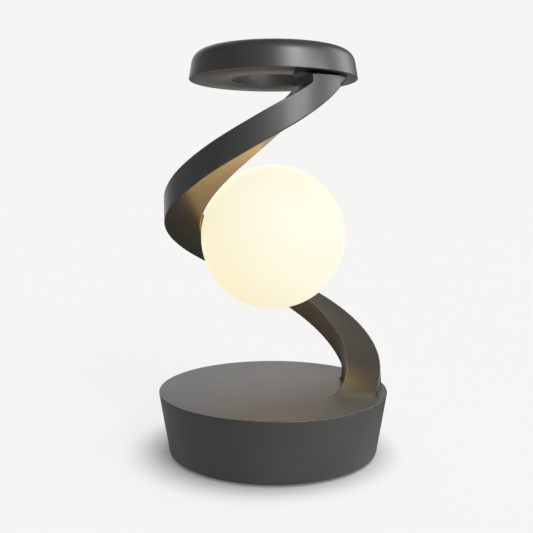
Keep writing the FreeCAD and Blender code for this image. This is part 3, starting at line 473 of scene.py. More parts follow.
def studio_level(az, el):
    """The studio light's strength in a direction, as the world's nodes give it."""
    z = math.sin(math.radians(el))
    total = 0.0
    for level, paz, az_in, az_out, span in WORLD_PATCHES:
        v = level
        if paz is not None:
            c = math.cos(math.radians(az - paz))
            v *= smooth(c, math.cos(math.radians(az_out)), math.cos(math.radians(az_in)))
        if span is not None:
            q = [math.sin(math.radians(x)) for x in span]
            v *= smooth(z, q[0], q[1])
            if len(q) > 2:
                v *= 1.0 - smooth(z, q[2], q[3])
        total += v
    return total


def floor_level():
    """Mean strength over the sky as a level floor sees it."""
    total = n = 0.0
    for i in range(60):
        sin2 = (i + 0.5) / 60
        el = math.degrees(math.asin(math.sqrt(sin2)))
        for j in range(120):
            total += studio_level(3.0 * j, el)
            n += 1
    return total / n


LEVEL = floor_level()
OVERHEAD_LEVEL = sum(v / math.pi * math.cos(math.radians(a)) * math.cos(math.radians(b)) for v, _, a, b in OVERHEAD)
print("studio level on the floor:", round(LEVEL, 3), round(OVERHEAD_LEVEL, 3))

M_PAINT = paint("satin_bronze_grey", PAINT)
M_PAINT_HEAD = M_PAINT
M_GLOBE = globe_material()
M_PLATE = simple("black_powder_coat", (0.02, 0.02, 0.021), (0.5, 0.65), 0.3, 1800.0, 0.35)
M_RUBBER = simple("black_rubber", (0.012, 0.012, 0.012), (0.7, 0.85), 0.0, 1500.0, 0.3)
M_STEEL = simple("zinc_steel", (0.45, 0.45, 0.46), (0.25, 0.42), 1.0, 900.0, 0.15)
# painted shade: the head screws get a near-black steel so that they read as the shade in the gap under the head's
# rim, not as bright points
M_GAP_SHADE_STEEL = simple("steel_darkened_as_gap_shade", (0.035, 0.035, 0.036), (0.5, 0.65), 0.6, 900.0, 0.2)
M_IRON = simple("cast_iron", (0.05, 0.05, 0.052), (0.6, 0.8), 0.7, 500.0, 0.6)
M_BLACK = simple("black_moulding", (0.015, 0.015, 0.016), (0.4, 0.55), 0.0, 1200.0, 0.2)
M_WRAP = simple("cell_wrap", (0.02, 0.06, 0.2), (0.25, 0.32), 0.0, 150.0, 0.1)
M_PCB = simple("board_green", (0.01, 0.07, 0.03), (0.3, 0.42), 0.0, 600.0, 0.2)
M_BRASS = simple("brass", (0.62, 0.42, 0.14), (0.22, 0.38), 1.0, 900.0, 0.1)
M_NICKEL = simple("nickel_plate", (0.62, 0.61, 0.6), (0.16, 0.28), 1.0, 900.0, 0.06)
M_CABLE = simple("cable_sheath", (0.02, 0.02, 0.02), (0.55, 0.7), 0.0, 1200.0, 0.2)
M_LEAD = simple("lead_sheath", (0.25, 0.02, 0.015), (0.4, 0.5), 0.0, 1200.0, 0.1)
M_WHITE = simple("white_moulding", (0.72, 0.70, 0.64), (0.4, 0.55), 0.0, 1100.0, 0.15, 0.03)
M_ALU = simple("turned_aluminium", (0.7, 0.7, 0.71), (0.25, 0.4), 1.0, 700.0, 0.12, 0.05, 0.00005, (1, 1, 8))
M_LED = simple("led_phosphor", (0.8, 0.62, 0.12), (0.4, 0.5), 0.0, 900.0, 0.1)

NODE_MATERIAL = {
    "arm_cable": M_CABLE, "bottom_plate": M_PLATE, "rubber_feet": M_RUBBER, "bottom_screws": M_STEEL,
    "ballast_screws": M_STEEL, "ballast_disc": M_IRON, "battery_tray": M_BLACK, "battery_cells": M_WRAP,
    "battery_leads": M_LEAD, "battery_straps": M_BLACK, "main_board": M_PCB, "board_posts": M_BRASS,
    "board_screws": M_STEEL, "board_parts": M_BLACK, "usb_socket": M_NICKEL, "tact_switch": M_BLACK,
    # the head screws take the steel that is darkened as painted shade for the gap under the head's rim
    "power_button": M_PAINT, "foot_screws": M_STEEL, "head_screws": M_GAP_SHADE_STEEL, "head_clips": M_STEEL,
    "clip_rivets": M_ALU, "dock_cup": M_PAINT, "dock_magnet": M_NICKEL, "dock_pin": M_BRASS,
    "dock_rotor": M_NICKEL, "globe_cap": M_WHITE, "globe_collar": M_WHITE, "cap_screws": M_STEEL,
    "globe_keeper": M_NICKEL, "globe_contact": M_BRASS, "led_post": M_ALU, "led_hub": M_ALU,
    "led_emitters": M_LED, "led_wires": M_CABLE, "arm_shell": M_PAINT, "arm_inner_cover": M_PAINT,
    "base_shell": M_PAINT, "head_shell": M_PAINT, "head_plate": M_PAINT, "globe_diffuser": M_GLOBE,
}
for node, mat in NODE_MATERIAL.items():
    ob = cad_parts[node]
    ob.data.materials.clear()
    ob.data.materials.append(mat)
    sharpen(ob, 28)

# ------------------------------------------------------------------ base shell
prof = fillet_profile(
    [(75.38, 41.5), (68.84, 1.0), (65.5, 1.0), (65.5, 4.2), (66.89, 5.4), (72.3, 38.5), (0.0, 38.5), (0.0, 41.5)],
    [0.62, 2.2, 0.3, 0, 0, 0.6, 0, 0], 6)
me = lathe_mesh("base_shell_skin", prof, 288)
base = add_object("base_shell_skin", me, "lamp", "base_shell", M_PAINT)


def cutter(name, build):
    bm = bmesh.new()
    build(bm)
    me = bpy.data.meshes.new(name)
    bm.to_mesh(me)
    bm.free()
    ob = bpy.data.objects.new(name, me)
    bpy.context.scene.collection.objects.link(ob)
    return ob


def cut_and_drop(target, tools):
    """Applies boolean cuts and removes the tools."""
    for t in tools:
        md = target.modifiers.new("cut", "BOOLEAN")
        md.operation = "DIFFERENCE"
        md.solver = "EXACT"
        md.object = t
    bpy.context.view_layer.update()
    dg = bpy.context.evaluated_depsgraph_get()
    new = bpy.data.meshes.new_from_object(target.evaluated_get(dg))
    target.modifiers.clear()
    old = target.data
    target.data = new
    new.name = old.name
    bpy.data.meshes.remove(old)
    for t in tools:
        bpy.data.objects.remove(t)


def oval_ring(bm, cx, cz, wide, tall, y, n=16):
    r = tall / 2.0
    pts = []
    for side, cxx in ((1, cx + wide / 2 - r), (-1, cx - wide / 2 + r)):
        for k in range(n + 1):
            a = -math.pi / 2 + math.pi * k / n
            if side == 1:
                pts.append((cxx + r * math.cos(a), cz + r * math.sin(a)))
            else:
                pts.append((cxx - r * math.cos(a), cz - r * math.sin(a)))
    return [bm.verts.new((x * MM, y * MM, z * MM)) for x, z in pts]


def oval_prism(cx, cz, wide, tall, y0, y1):
    def build(bm):
        a = oval_ring(bm, cx, cz, wide, tall, y0)
        b = oval_ring(bm, cx, cz, wide, tall, y1)
        n = len(a)
        for k in range(n):
            bm.faces.new((a[k], a[(k + 1) % n], b[(k + 1) % n], b[k]))
        bm.faces.new(a[::-1])
        bm.faces.new(b)
        bmesh.ops.recalc_face_normals(bm, faces=bm.faces)

    return build


SOCK_X, SOCK_Z = -8.0, 18.6 + 1.6 + 1.63
tools = [
    cutter("cut_socket", oval_prism(SOCK_X, SOCK_Z, 9.44, 3.76, 62.0, 80.0)),
    cutter("cut_button", oval_prism(14.0, 23.4, 9.12, 9.119, 62.0, 80.0)),
]
cut_and_drop(base, tools)
sharpen(base, 35)

# ------------------------------------------------------------------ feet
bm_all = bmesh.new()
foot = fillet_profile([(0, 0), (5.9, 0), (6.5, 0.6), (6.5, 1.6), (0, 1.6)], [0, 0.25, 0.25, 0, 0], 3)
for a in (0, 90, 180, 270):
    me = lathe_mesh("tmp", foot, 64, Matrix.Translation(polar(a, 52.0, 0)))
    bm_all.from_mesh(me)
    bpy.data.meshes.remove(me)
me = bpy.data.meshes.new("rubber_feet_pads")
bm_all.to_mesh(me)
bm_all.free()
feet = add_object("rubber_feet_pads", me, "lamp", "rubber_feet", M_RUBBER)
sharpen(feet, 40)

# ------------------------------------------------------------------ arm
HALF_CV = 6.2


def rows(t, lo, hi):
    """Heights of the four wall rows: the cover's edges lie between the arm's corners."""
    mid = upper_at(t) - TALL / 2
    c1, c2 = mid - HALF_CV, mid + HALF_CV
    return [lo, c1, c2, hi]


class Tube:
    """Builds the arm's skin from columns in planes through the axis."""

    def __init__(self):
        self.bm = bmesh.new()
        self.tag = self.bm.faces.layers.int.new("part")
        self.cols = 5

    def quad(self, a, b, c, d, tag):
        vs = [self.bm.verts.new(p) for p in (a, b, c, d)]
        f = self.bm.faces.new(vs)
        f[self.tag] = tag
        return f

    def wall(self, ts, zrows, rad, tag, skip=None, depth=None):
        for i in range(len(ts) - 1):
            for k in range(len(zrows[i]) - 1):
                z00, z01 = zrows[i][k], zrows[i][k + 1]
                z10, z11 = zrows[i + 1][k], zrows[i + 1][k + 1]
                if abs(z01 - z00) < 1e-6 and abs(z11 - z10) < 1e-6:
                    continue
                if skip and skip(i, k):
                    r0, r1 = rad(ts[i]), rad(ts[i + 1])
                    q0, q1 = r0 + depth, r1 + depth
                    t0, t1 = ts[i], ts[i + 1]
                    self.quad(polar(t0, q0, z00), polar(t1, q1, z10), polar(t1, q1, z11), polar(t0, q0, z01), tag)
                    self.quad(polar(t0, r0, z00), polar(t1, r1, z10), polar(t1, q1, z10), polar(t0, q0, z00), 9)
                    self.quad(polar(t0, r0, z01), polar(t1, r1, z11), polar(t1, q1, z11), polar(t0, q0, z01), 9)
                    if not skip(i - 1, k):
                        self.quad(polar(t0, r0, z00), polar(t0, q0, z00), polar(t0, q0, z01), polar(t0, r0, z01), 9)
                    if not skip(i + 1, k):
                        self.quad(polar(t1, r1, z10), polar(t1, q1, z10), polar(t1, q1, z11), polar(t1, r1, z11), 9)
                    continue
                self.quad(
                    polar(ts[i], rad(ts[i]), z00), polar(ts[i + 1], rad(ts[i + 1]), z10),
                    polar(ts[i + 1], rad(ts[i + 1]), z11), polar(ts[i], rad(ts[i]), z01), tag)

    def deck(self, ts, zs, tag, point=None, cols=None):
        n = self.cols
        for i in range(len(ts) - 1):
            for k in cols or range(n):
                def p(t, z, q):
                    if point:
                        return point(t, q / n, z)
                    return polar(t, inner_at(t) + (outer_at(t) - inner_at(t)) * q / n, z)
                self.quad(p(ts[i], zs[i], k), p(ts[i + 1], zs[i + 1], k), p(ts[i + 1], zs[i + 1], k + 1), p(ts[i], zs[i], k + 1), tag)

    def cap(self, t, zrow, tag, point=None, cols=None):
        n = self.cols
        for k in cols or range(n):
            for a, b in zip(zrow, zrow[1:]):
                def p(q, z):
                    if point:
                        return point(t, q / n, z)
                    return polar(t, inner_at(t) + (outer_at(t) - inner_at(t)) * q / n, z)
                self.quad(p(k, a), p(k + 1, a), p(k + 1, b), p(k, b), tag)

    def side(self, ts, zrows, q, tag, point):
        """A wall of the foot, at q = 0 or 1 of its width."""
        for i in range(len(ts) - 1):
            for k in range(len(zrows[i]) - 1):
                z00, z01, z10, z11 = zrows[i][k], zrows[i][k + 1], zrows[i + 1][k], zrows[i + 1][k + 1]
                self.quad(point(ts[i], q, z00), point(ts[i + 1], q, z10), point(ts[i + 1], q, z11), point(ts[i], q, z01), tag)


STEP = 1.5
T_CV0, T_CV1 = 13.0 - 1.2, 146.5 + 1.2
tube = Tube()
# foot block
Z_NECK = BASE_TOP + RF
share = RF / (roof_at(T_NECK) - BASE_TOP)


def clean_steps(a, b, step, marks=()):
    """Even steps that also hit the marks."""
    pts = sorted(set([a, b] + [m for m in marks if a < m < b]))
    out = []
    for p, q in zip(pts, pts[1:]):
        s = steps(p, q, step)
        out += s if not out else s[1:]
    return out


ts = clean_steps(T_START, T_NECK, STEP, (T_CV0,))


def foot_rows(t):
    top = roof_at(t)
    zm = BASE_TOP + share * (top - BASE_TOP)
    ref = max(t, T_CV0)
    topr = roof_at(ref)
    zmr = BASE_TOP + share * (topr - BASE_TOP)
    mid = upper_at(ref) - TALL / 2
    f1 = (mid - HALF_CV - zmr) / (topr - zmr)
    f2 = (mid + HALF_CV - zmr) / (topr - zmr)
    return [BASE_TOP, zm, zm + (top - zm) * f1, zm + (top - zm) * f2, top]


zr = [foot_rows(t) for t in ts]
tube.side(ts, zr, 1, 1, foot_point)
tube.wall(ts, zr, inner_at, 2, lambda i, k, ts=ts: k == 2 and 0 <= i < len(ts) - 1 and ts[i] > T_CV0 - 1e-6, 1.8)
tube.deck(ts, [z[-1] for z in zr], 3, foot_point)
tube.deck(ts, [BASE_TOP] * len(ts), 5, foot_point)
tube.cap(ts[0], zr[0], 6, foot_point)
# hollow over the toe
N_ARC = 12
arc = [math.pi / 2 + (math.pi / 2 - AL_F) * i / N_ARC for i in range(N_ARC + 1)]
ts = [T_LOW_IN + (TAN_F - RF * math.sin(a)) / SC_F for a in arc]
zs = [BASE_TOP + RF - RF * math.cos(a) for a in arc]
ts[0], zs[0] = T_NECK, Z_NECK
T_MAIN0, Z_MAIN0 = ts[-1], zs[-1]
zr = [rows(t, z, roof_at(t)) for t, z in zip(ts, zs)]
tube.wall(ts, zr, outer_at, 1)
tube.wall(ts, zr, inner_at, 2, lambda i, k: k == 1, 1.8)
tube.deck(ts, [z[-1] for z in zr], 3)
tube.deck(ts, [z[0] for z in zr], 4)
# toe
arc = [math.pi / 2 - (math.pi / 2 - 0.15) * i / N_ARC for i in range(N_ARC + 1)]
ts = [T_LOW_IN + (TAN_F - RF * math.sin(a)) / SC_F for a in arc]
zs = [BASE_TOP + RF - RF * math.cos(a) for a in arc]
ts[0], zs[0] = T_NECK, Z_NECK
zr = [[BASE_TOP, z] for z in zs]
tube.wall(ts, zr, outer_at, 1)
tube.wall(ts, zr, inner_at, 2)
tube.deck(ts, zs, 4)
tube.deck(ts, [BASE_TOP] * len(ts), 5)
tube.cap(ts[-1], zr[-1], 6)
# open helix
arc_h = [(math.pi / 2 - AL_H) * i / 6 for i in range(7)]
ts_h = [T_NECK_H - R_LOW * (1 - math.cos(a)) / SC_H for a in arc_h]
zs_h = [Z_NECK_LOW - R_LOW * math.sin(a) for a in arc_h]
T_MAIN1 = ts_h[-1]
TRIM_F = Z_MAIN0 - lower_at(T_MAIN0)
TRIM_H = zs_h[-1] - upper_at(T_MAIN1)


def low_main(t):
    k = max(0.0, 1.0 - (t - T_MAIN0) / 12.0)
    return lower_at(t) + TRIM_F * k * k


def high_main(t):
    k = max(0.0, 1.0 - (T_MAIN1 - t) / 12.0)
    return roof_at(t) + TRIM_H * k * k


ts = clean_steps(T_MAIN0, T_MAIN1, STEP, (T_CV1,))
zr = [rows(t, low_main(t), high_main(t)) for t in ts]
tube.wall(ts, zr, outer_at, 1)
tube.wall(ts, zr, inner_at, 2, lambda i, k, ts=ts: k == 1 and (i < 0 or ts[min(i, len(ts) - 1)] < T_CV1 - 1e-6), 1.8)
tube.deck(ts, [z[-1] for z in zr], 3)
tube.deck(ts, [z[0] for z in zr], 4)
# small round where the upper face meets the neck
ts, zs = ts_h[::-1], zs_h[::-1]
zr = [rows(t, lower_at(t), z) for t, z in zip(ts, zs)]
for t, z in zip(ts, zr):
    z[2] = min(z[2], z[3] - 0.5)
tube.wall(ts, zr, outer_at, 1)
tube.wall(ts, zr, inner_at, 2)
tube.deck(ts, [z[-1] for z in zr], 3)
tube.deck(ts, [z[0] for z in zr], 4)
LAST = zr[-1]
# upright face of the neck
tube.cap(T_NECK_H, [Z_NECK_LOW, Z_NECK_HIGH], 3)
# lip on the head's underside
arc = [(math.pi / 2 - 0.2) * i / 8 for i in range(9)]
tl = [T_NECK_H - R_HIGH * (1 - math.cos(a)) / SC_H for a in arc]
zl = [Z_NECK_HIGH + R_HIGH * math.sin(a) for a in arc]
zr = [[z, HEAD_LOW] for z in zl]
INSIDE, LEDGE = range(0, 3), range(3, 5)


def gap_at(t):
    """The shadow gap between the head's rim and the arm's upper edge ends here."""
    return inner_at(t) + (outer_at(t) - inner_at(t)) * 3 / 5


tube.wall(tl, zr, gap_at, 7)
tube.wall(tl, zr, inner_at, 2)
tube.deck(tl, zl, 3, None, INSIDE)
tube.deck(tl, [HEAD_LOW] * len(tl), 5, None, INSIDE)
tube.cap(tl[-1], zr[-1], 6, None, INSIDE)
# end block
ts = steps(T_NECK_H, T_END, STEP)
f = [(z - LAST[0]) / (HEAD_LOW - LAST[0]) for z in LAST + [Z_NECK_HIGH]] + [1.0]
zr = [[lower_at(t) + (HEAD_LOW - lower_at(t)) * q for q in f] for t in ts]
tube.wall(ts, [z[:-1] for z in zr], outer_at, 1)
tube.wall(ts, [z[-2:] for z in zr], gap_at, 7)
tube.wall(ts, zr, inner_at, 2)
tube.deck(ts, [z[0] for z in zr], 4)
tube.deck(ts, [z[-2] for z in zr], 3, None, LEDGE)
tube.deck(ts, [HEAD_LOW] * len(ts), 5, None, INSIDE)
tube.cap(ts[-1], zr[-1][:-1], 6)
tube.cap(ts[-1], zr[-1][-2:], 6, None, INSIDE)

bm = tube.bm
bmesh.ops.remove_doubles(bm, verts=bm.verts, dist=4e-7)
bmesh.ops.recalc_face_normals(bm, faces=bm.faces)
EDGE_ROUND = 0.8
weight = bm.edges.layers.float.new("bevel_weight_edge")
tag = tube.tag
for e in bm.edges:
    tags = sorted(fc[tag] for fc in e.link_faces)
    if len(tags) == 2 and tags[0] in (1, 2) and tags[1] in (3, 4):
        # the round narrows where the casting runs out on the base or on the head
        room = min(min(0.4 * (v.co.z / MM - BASE_TOP), 0.13 * (HEAD_LOW - v.co.z / MM)) for v in e.verts)
        e[weight] = min(1.0, max(0.0, room / EDGE_ROUND))
# a wall section that stands inside the casting belongs to no surface
inner = [fc for fc in bm.faces if any(len(e.link_faces) == 1 for e in fc.edges)]
bmesh.ops.delete(bm, geom=inner, context="FACES")
open_edges = sum(1 for e in bm.edges if len(e.link_faces) != 2)
print("ARM open or multi edges:", open_edges, "faces", len(bm.faces))
me = bpy.data.meshes.new("arm_casting")
bm.to_mesh(me)
bm.free()
arm = add_object("arm_casting", me, "lamp", "arm_shell", M_PAINT)
md = arm.modifiers.new("edge_round", "BEVEL")
md.limit_method = "WEIGHT"
md.width = EDGE_ROUND * MM
md.segments = 4
md.profile = 0.5
md.use_clamp_overlap = False
md.harden_normals = False
md.miter_outer = "MITER_SHARP"
sharpen(arm, 38)

# ------------------------------------------------------------------ cover strip in the arm's inner face
bm = bmesh.new()
ts = clean_steps(T_CV0 + 0.08, T_CV1 - 0.08, STEP)
g = 0.07
tagl = []
quads = []


def cv(t, d, s):
    mid = upper_at(t) - TALL / 2
    return polar(t, inner_at(t) + d, mid + s * (HALF_CV - g))


for i in range(len(ts) - 1):
    t0, t1 = ts[i], ts[i + 1]
    for s0, s1 in ((-1, -0.5), (-0.5, 0), (0, 0.5), (0.5, 1)):
        quads.append((cv(t0, 0.02, s0), cv(t1, 0.02, s0), cv(t1, 0.02, s1), cv(t0, 0.02, s1)))
        quads.append((cv(t0, 1.72, s0), cv(t1, 1.72, s0), cv(t1, 1.72, s1), cv(t0, 1.72, s1)))
    for s in (-1, 1):
        quads.append((cv(t0, 0.02, s), cv(t1, 0.02, s), cv(t1, 1.72, s), cv(t0, 1.72, s)))
for t in (ts[0], ts[-1]):
    for s0, s1 in ((-1, -0.5), (-0.5, 0), (0, 0.5), (0.5, 1)):
        quads.append((cv(t, 0.02, s0), cv(t, 1.72, s0), cv(t, 1.72, s1), cv(t, 0.02, s1)))
for q in quads:
    bm.faces.new([bm.verts.new(p) for p in q])
bmesh.ops.remove_doubles(bm, verts=bm.verts, dist=1e-6)
bmesh.ops.recalc_face_normals(bm, faces=bm.faces)
me = bpy.data.meshes.new("arm_cover_strip")
bm.to_mesh(me)
bm.free()
cover = add_object("arm_cover_strip", me, "lamp", "arm_inner_cover", M_PAINT)
md = cover.modifiers.new("edge_round", "BEVEL")
md.limit_method = "ANGLE"
md.angle_limit = math.radians(50)
md.width = 0.00018
md.segments = 2
sharpen(cover, 38)

# ------------------------------------------------------------------ head
prof = fillet_profile(
    [(53.9, 241.8), (50.8, 259.5), (26.2, 259.5), (26.2, 241.8), (28.2, 241.8), (28.2, 257.3), (42.5, 257.3), (48.6, 252.0), (51.3, 241.8)],
    [0.45, 9.0, 2.0, 0.4, 0.2, 0, 0, 0, 0.15], 10)
me = lathe_mesh("head_cap_skin", prof, 256)
head = add_object("head_cap_skin", me, "lamp", "head_shell", M_PAINT)
sharpen(head, 35)
prof = fillet_profile(
    [(28.25, 241.8), (51.2, 241.8), (50.5, 244.3), (30.8, 244.3), (30.8, 247.8), (28.25, 247.8)],
    [0.15, 0.2, 0, 0, 0.3, 0.3], 3)
me = lathe_mesh("head_plate_skin", prof, 256)
hplate = add_object("head_plate_skin", me, "lamp", "head_plate", M_PAINT)
sharpen(hplate, 35)

# ------------------------------------------------------------------ globe
a0 = math.asin(MOUTH_R / GLOBE_R)
pts = []
n = 120
for i in range(n + 1):
    a = math.pi - (math.pi - a0) * i / n
    pts.append((GLOBE_R * math.sin(a), GLOBE_R * math.cos(a)))
ri = GLOBE_R - GLOBE_WALL
b0 = math.asin(MOUTH_R / ri)
mouth = [(MOUTH_R - 0.001, ri * math.cos(b0) + 0.3), (MOUTH_R, ri * math.cos(b0))]
for i in range(n // 2 + 1):
    a = b0 + (math.pi - b0) * i / (n // 2)
    mouth.append((ri * math.sin(a), ri * math.cos(a)))
pts[0] = (0.0, -GLOBE_R)
mouth[-1] = (0.0, -ri)
me = lathe_mesh("globe_opal", pts + mouth, 160, dock_matrix(), closed=False)
globe = add_object("globe_opal", me, "globe", "globe_diffuser", M_GLOBE)
sharpen(globe, 40)

# ------------------------------------------------------------------ stage: floor, world and lights
bm = bmesh.new()
S = 9.5
vs = [bm.verts.new(p) for p in ((-S, -S, 0), (S, -S, 0), (S, S, 0), (-S, S, 0))]
bm.faces.new(vs)
me = bpy.data.meshes.new("floor")
bm.to_mesh(me)
bm.free()
floor = add_object("floor", me, None)
fm = bpy.data.materials.new("floor_paper")
fm.use_nodes = True
nt = fm.node_tree
for nd in list(nt.nodes):
    nt.nodes.remove(nd)
out = nt.nodes.new("ShaderNodeOutputMaterial")
mix = nt.nodes.new("ShaderNodeAddShader")
dif = nt.nodes.new("ShaderNodeBsdfDiffuse")
alb = min(FLOOR_ALBEDO, BACKDROP / LEVEL)
dif.inputs["Color"].default_value = (alb, alb, alb * 0.985, 1)
emi = nt.nodes.new("ShaderNodeEmission")
emi.inputs["Color"].default_value = (1.0, 0.999, 0.985, 1)
emi.inputs["Strength"].default_value = max(0.0, BACKDROP + 0.003 - alb * (LEVEL + OVERHEAD_LEVEL))
nt.links.new(dif.outputs[0], mix.inputs[0])
nt.links.new(emi.outputs[0], mix.inputs[1])
# the paper thins out far behind the lamp, so that no horizon line shows
ftc = nt.nodes.new("ShaderNodeTexCoord")
flen = nt.nodes.new("ShaderNodeVectorMath")
flen.operation = "LENGTH"
nt.links.new(ftc.outputs["Object"], flen.inputs[0])
ffade = nt.nodes.new("ShaderNodeMapRange")
ffade.interpolation_type = "SMOOTHSTEP"
ffade.inputs["From Min"].default_value = 1.4
ffade.inputs["From Max"].default_value = 9.0
nt.links.new(flen.outputs["Value"], ffade.inputs["Value"])
fgone = nt.nodes.new("ShaderNodeBsdfTransparent")
fmix = nt.nodes.new("ShaderNodeMixShader")
nt.links.new(ffade.outputs["Result"], fmix.inputs["Fac"])
nt.links.new(mix.outputs[0], fmix.inputs[1])
nt.links.new(fgone.outputs[0], fmix.inputs[2])
nt.links.new(fmix.outputs[0], out.inputs["Surface"])
floor.data.materials.append(fm)
floor.visible_glossy = False
floor.visible_shadow = False

world = bpy.data.worlds.new("studio")
bpy.context.scene.world = world
world.use_nodes = True
nt = world.node_tree
for nd in list(nt.nodes):
    nt.nodes.remove(nd)
wout = nt.nodes.new("ShaderNodeOutputWorld")
wtc = nt.nodes.new("ShaderNodeTexCoord")
wdir = nt.nodes.new("ShaderNodeVectorMath")
wdir.operation = "NORMALIZE"
nt.links.new(wtc.outputs["Generated"], wdir.inputs[0])
wsep = nt.nodes.new("ShaderNodeSeparateXYZ")
nt.links.new(wdir.outputs["Vector"], wsep.inputs[0])
wflat = nt.nodes.new("ShaderNodeVectorMath")
wflat.operation = "MULTIPLY"
wflat.inputs[1].default_value = (1, 1, 0)
nt.links.new(wdir.outputs["Vector"], wflat.inputs[0])
wfn = nt.nodes.new("ShaderNodeVectorMath")
wfn.operation = "NORMALIZE"
nt.links.new(wflat.outputs["Vector"], wfn.inputs[0])


def wmath(op, a, b=None):
    m = nt.nodes.new("ShaderNodeMath")
    m.operation = op
    for i, v in enumerate((a, b)):
        if v is None:
            continue
        if isinstance(v, (int, float)):
            m.inputs[i].default_value = v
        else:
            nt.links.new(v, m.inputs[i])
    return m.outputs[0]


def wrange(v, lo, hi, out_lo=0.0, out_hi=1.0):
    m = nt.nodes.new("ShaderNodeMapRange")
    m.interpolation_type = "SMOOTHSTEP"
    m.inputs["From Min"].default_value = lo
    m.inputs["From Max"].default_value = hi
    m.inputs["To Min"].default_value = out_lo
    m.inputs["To Max"].default_value = out_hi
    nt.links.new(v, m.inputs["Value"])
    return m.outputs["Result"]


def toward(azimuth, inner, outer):
    """1 within inner degrees of this azimuth, fading to 0 at outer degrees."""
    d = nt.nodes.new("ShaderNodeVectorMath")
    d.operation = "DOT_PRODUCT"
    a = math.radians(azimuth)
    d.inputs[1].default_value = (math.cos(a), math.sin(a), 0)
    nt.links.new(wfn.outputs["Vector"], d.inputs[0])
    return wrange(d.outputs["Value"], math.cos(math.radians(outer)), math.cos(math.radians(inner)))


def height(lo0, lo1, hi0=None, hi1=None):
    """Elevation mask in degrees: rises between lo0 and lo1, falls between hi0 and hi1."""
    s = [math.sin(math.radians(v)) if v is not None else None for v in (lo0, lo1, hi0, hi1)]
    up = wrange(wsep.outputs["Z"], s[0], s[1])
    if hi0 is None:
        return up
    return wmath("MULTIPLY", up, wrange(wsep.outputs["Z"], s[2], s[3], 1.0, 0.0))


total = None
for level, az, az_in, az_out, el in WORLD_PATCHES:
    parts = []
    if az is not None:
        parts.append(toward(az, az_in, az_out))
    if el is not None:
        parts.append(height(*el))
    v = level
    for p in parts:
        v = wmath("MULTIPLY", p, v)
    total = v if total is None else wmath("ADD", v, total)
bg_lit = nt.nodes.new("ShaderNodeBackground")
bg_lit.inputs["Color"].default_value = (1.0, 1.0, 1.0, 1)
nt.links.new(total, bg_lit.inputs["Strength"])
below = wrange(wsep.outputs["Z"], *[math.sin(math.radians(v)) for v in BOUNCE_SPAN], BOUNCE, 0.0)
below = wmath("MULTIPLY", below, toward(*BOUNCE_AZIMUTH))
bg_low = nt.nodes.new("ShaderNodeBackground")
bg_low.inputs["Color"].default_value = (*BOUNCE_TINT, 1)
nt.links.new(below, bg_low.inputs["Strength"])
bg_all = nt.nodes.new("ShaderNodeAddShader")
nt.links.new(bg_lit.outputs[0], bg_all.inputs[0])
nt.links.new(bg_low.outputs[0], bg_all.inputs[1])
bg_cam = nt.nodes.new("ShaderNodeBackground")
bg_cam.inputs["Color"].default_value = (0.913, 0.913, 0.896, 1)
lp = nt.nodes.new("ShaderNodeLightPath")
mx = nt.nodes.new("ShaderNodeMixShader")
nt.links.new(lp.outputs["Is Camera Ray"], mx.inputs["Fac"])
nt.links.new(bg_all.outputs[0], mx.inputs[1])
nt.links.new(bg_cam.outputs[0], mx.inputs[2])
nt.links.new(mx.outputs[0], wout.inputs["Surface"])

# the globe's own light, which moves with it
ld = bpy.data.lights.new("globe_light", "POINT")
ld.energy = GLOBE_POWER
ld.color = GLOBE_TINT
ld.shadow_soft_size = (GLOBE_R + 0.4) * MM
ld.use_soft_falloff = False
glow = bpy.data.objects.new("globe_light", ld)
bpy.context.scene.collection.objects.link(glow)
glow.location = (0, 0, GLOBE_Z * MM)
glow.visible_camera = False
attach(glow, "globe")
unlit = bpy.data.collections.new("not_lit_by_the_globe")
mouth_nodes = ("globe_cap", "globe_collar", "cap_screws", "globe_keeper", "globe_contact", "dock_rotor")
for o in [globe, floor] + [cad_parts[k] for k in mouth_nodes]:
    unlit.objects.link(o)
glow.light_linking.receiver_collection = unlit
for o in unlit.collection_objects:
    o.light_linking.link_state = "EXCLUDE"

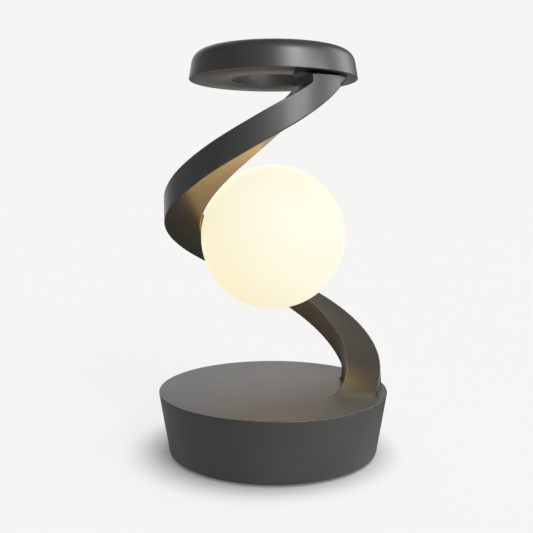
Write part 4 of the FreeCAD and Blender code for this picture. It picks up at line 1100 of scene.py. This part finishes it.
# the globe's emitters look downwards, so more of its light falls on the base and the foot
dd = bpy.data.lights.new("globe_light_down", "SPOT")
dd.energy = DOWN_POWER
dd.color = DOWN_TINT
dd.spot_size = math.radians(150)
dd.spot_blend = 1.0
dd.shadow_soft_size = (GLOBE_R + 0.4) * MM
dd.use_soft_falloff = False
down = bpy.data.objects.new("globe_light_down", dd)
bpy.context.scene.collection.objects.link(down)
down.location = (0, 0, GLOBE_Z * MM)
down.rotation_euler = Vector((0.55, -0.1, -1.0)).to_track_quat("-Z", "Y").to_euler()
down.visible_camera = False
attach(down, "globe")
down.light_linking.receiver_collection = unlit

# the brightest part of the globe's lower face, seen as a glow on the arm's foot
ft = bpy.data.lights.new("globe_light_foot", "SPOT")
ft.energy = FOOT_POWER
ft.color = FOOT_TINT
ft.spot_size = math.radians(46)
ft.spot_blend = 1.0
ft.shadow_soft_size = 0.008
ft.use_soft_falloff = False
to_foot = Vector((57.0, -14.0, 42.0)) - Vector((0, 0, GLOBE_Z))
foot_glow = bpy.data.objects.new("globe_light_foot", ft)
bpy.context.scene.collection.objects.link(foot_glow)
foot_glow.location = (Vector((0, 0, GLOBE_Z)) + to_foot.normalized() * (GLOBE_R + 9.0)) * MM
foot_glow.rotation_euler = to_foot.to_track_quat("-Z", "Y").to_euler()
foot_glow.visible_camera = False
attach(foot_glow, "globe")
foot_glow.light_linking.receiver_collection = unlit

# the overhead softbox: it lights the floor only, and the base alone shades it
lit = bpy.data.collections.new("lit_from_overhead")
lit.objects.link(floor)
shade = bpy.data.collections.new("shades_the_floor")
shade.objects.link(base)
for i, (power, half, lean, front) in enumerate(OVERHEAD):
    od = bpy.data.lights.new("overhead_%d" % i, "SUN")
    od.energy = power
    od.angle = math.radians(2 * half)
    overhead = bpy.data.objects.new("overhead_%d" % i, od)
    bpy.context.scene.collection.objects.link(overhead)
    overhead.rotation_euler = (math.radians(front), math.radians(lean), 0.0)
    overhead.light_linking.receiver_collection = lit
    overhead.light_linking.blocker_collection = shade

sc = bpy.context.scene
sc.view_settings.view_transform = "Standard"
sc.view_settings.look = "None"
sc.view_settings.exposure = 0.0
sc.view_settings.gamma = 1.0
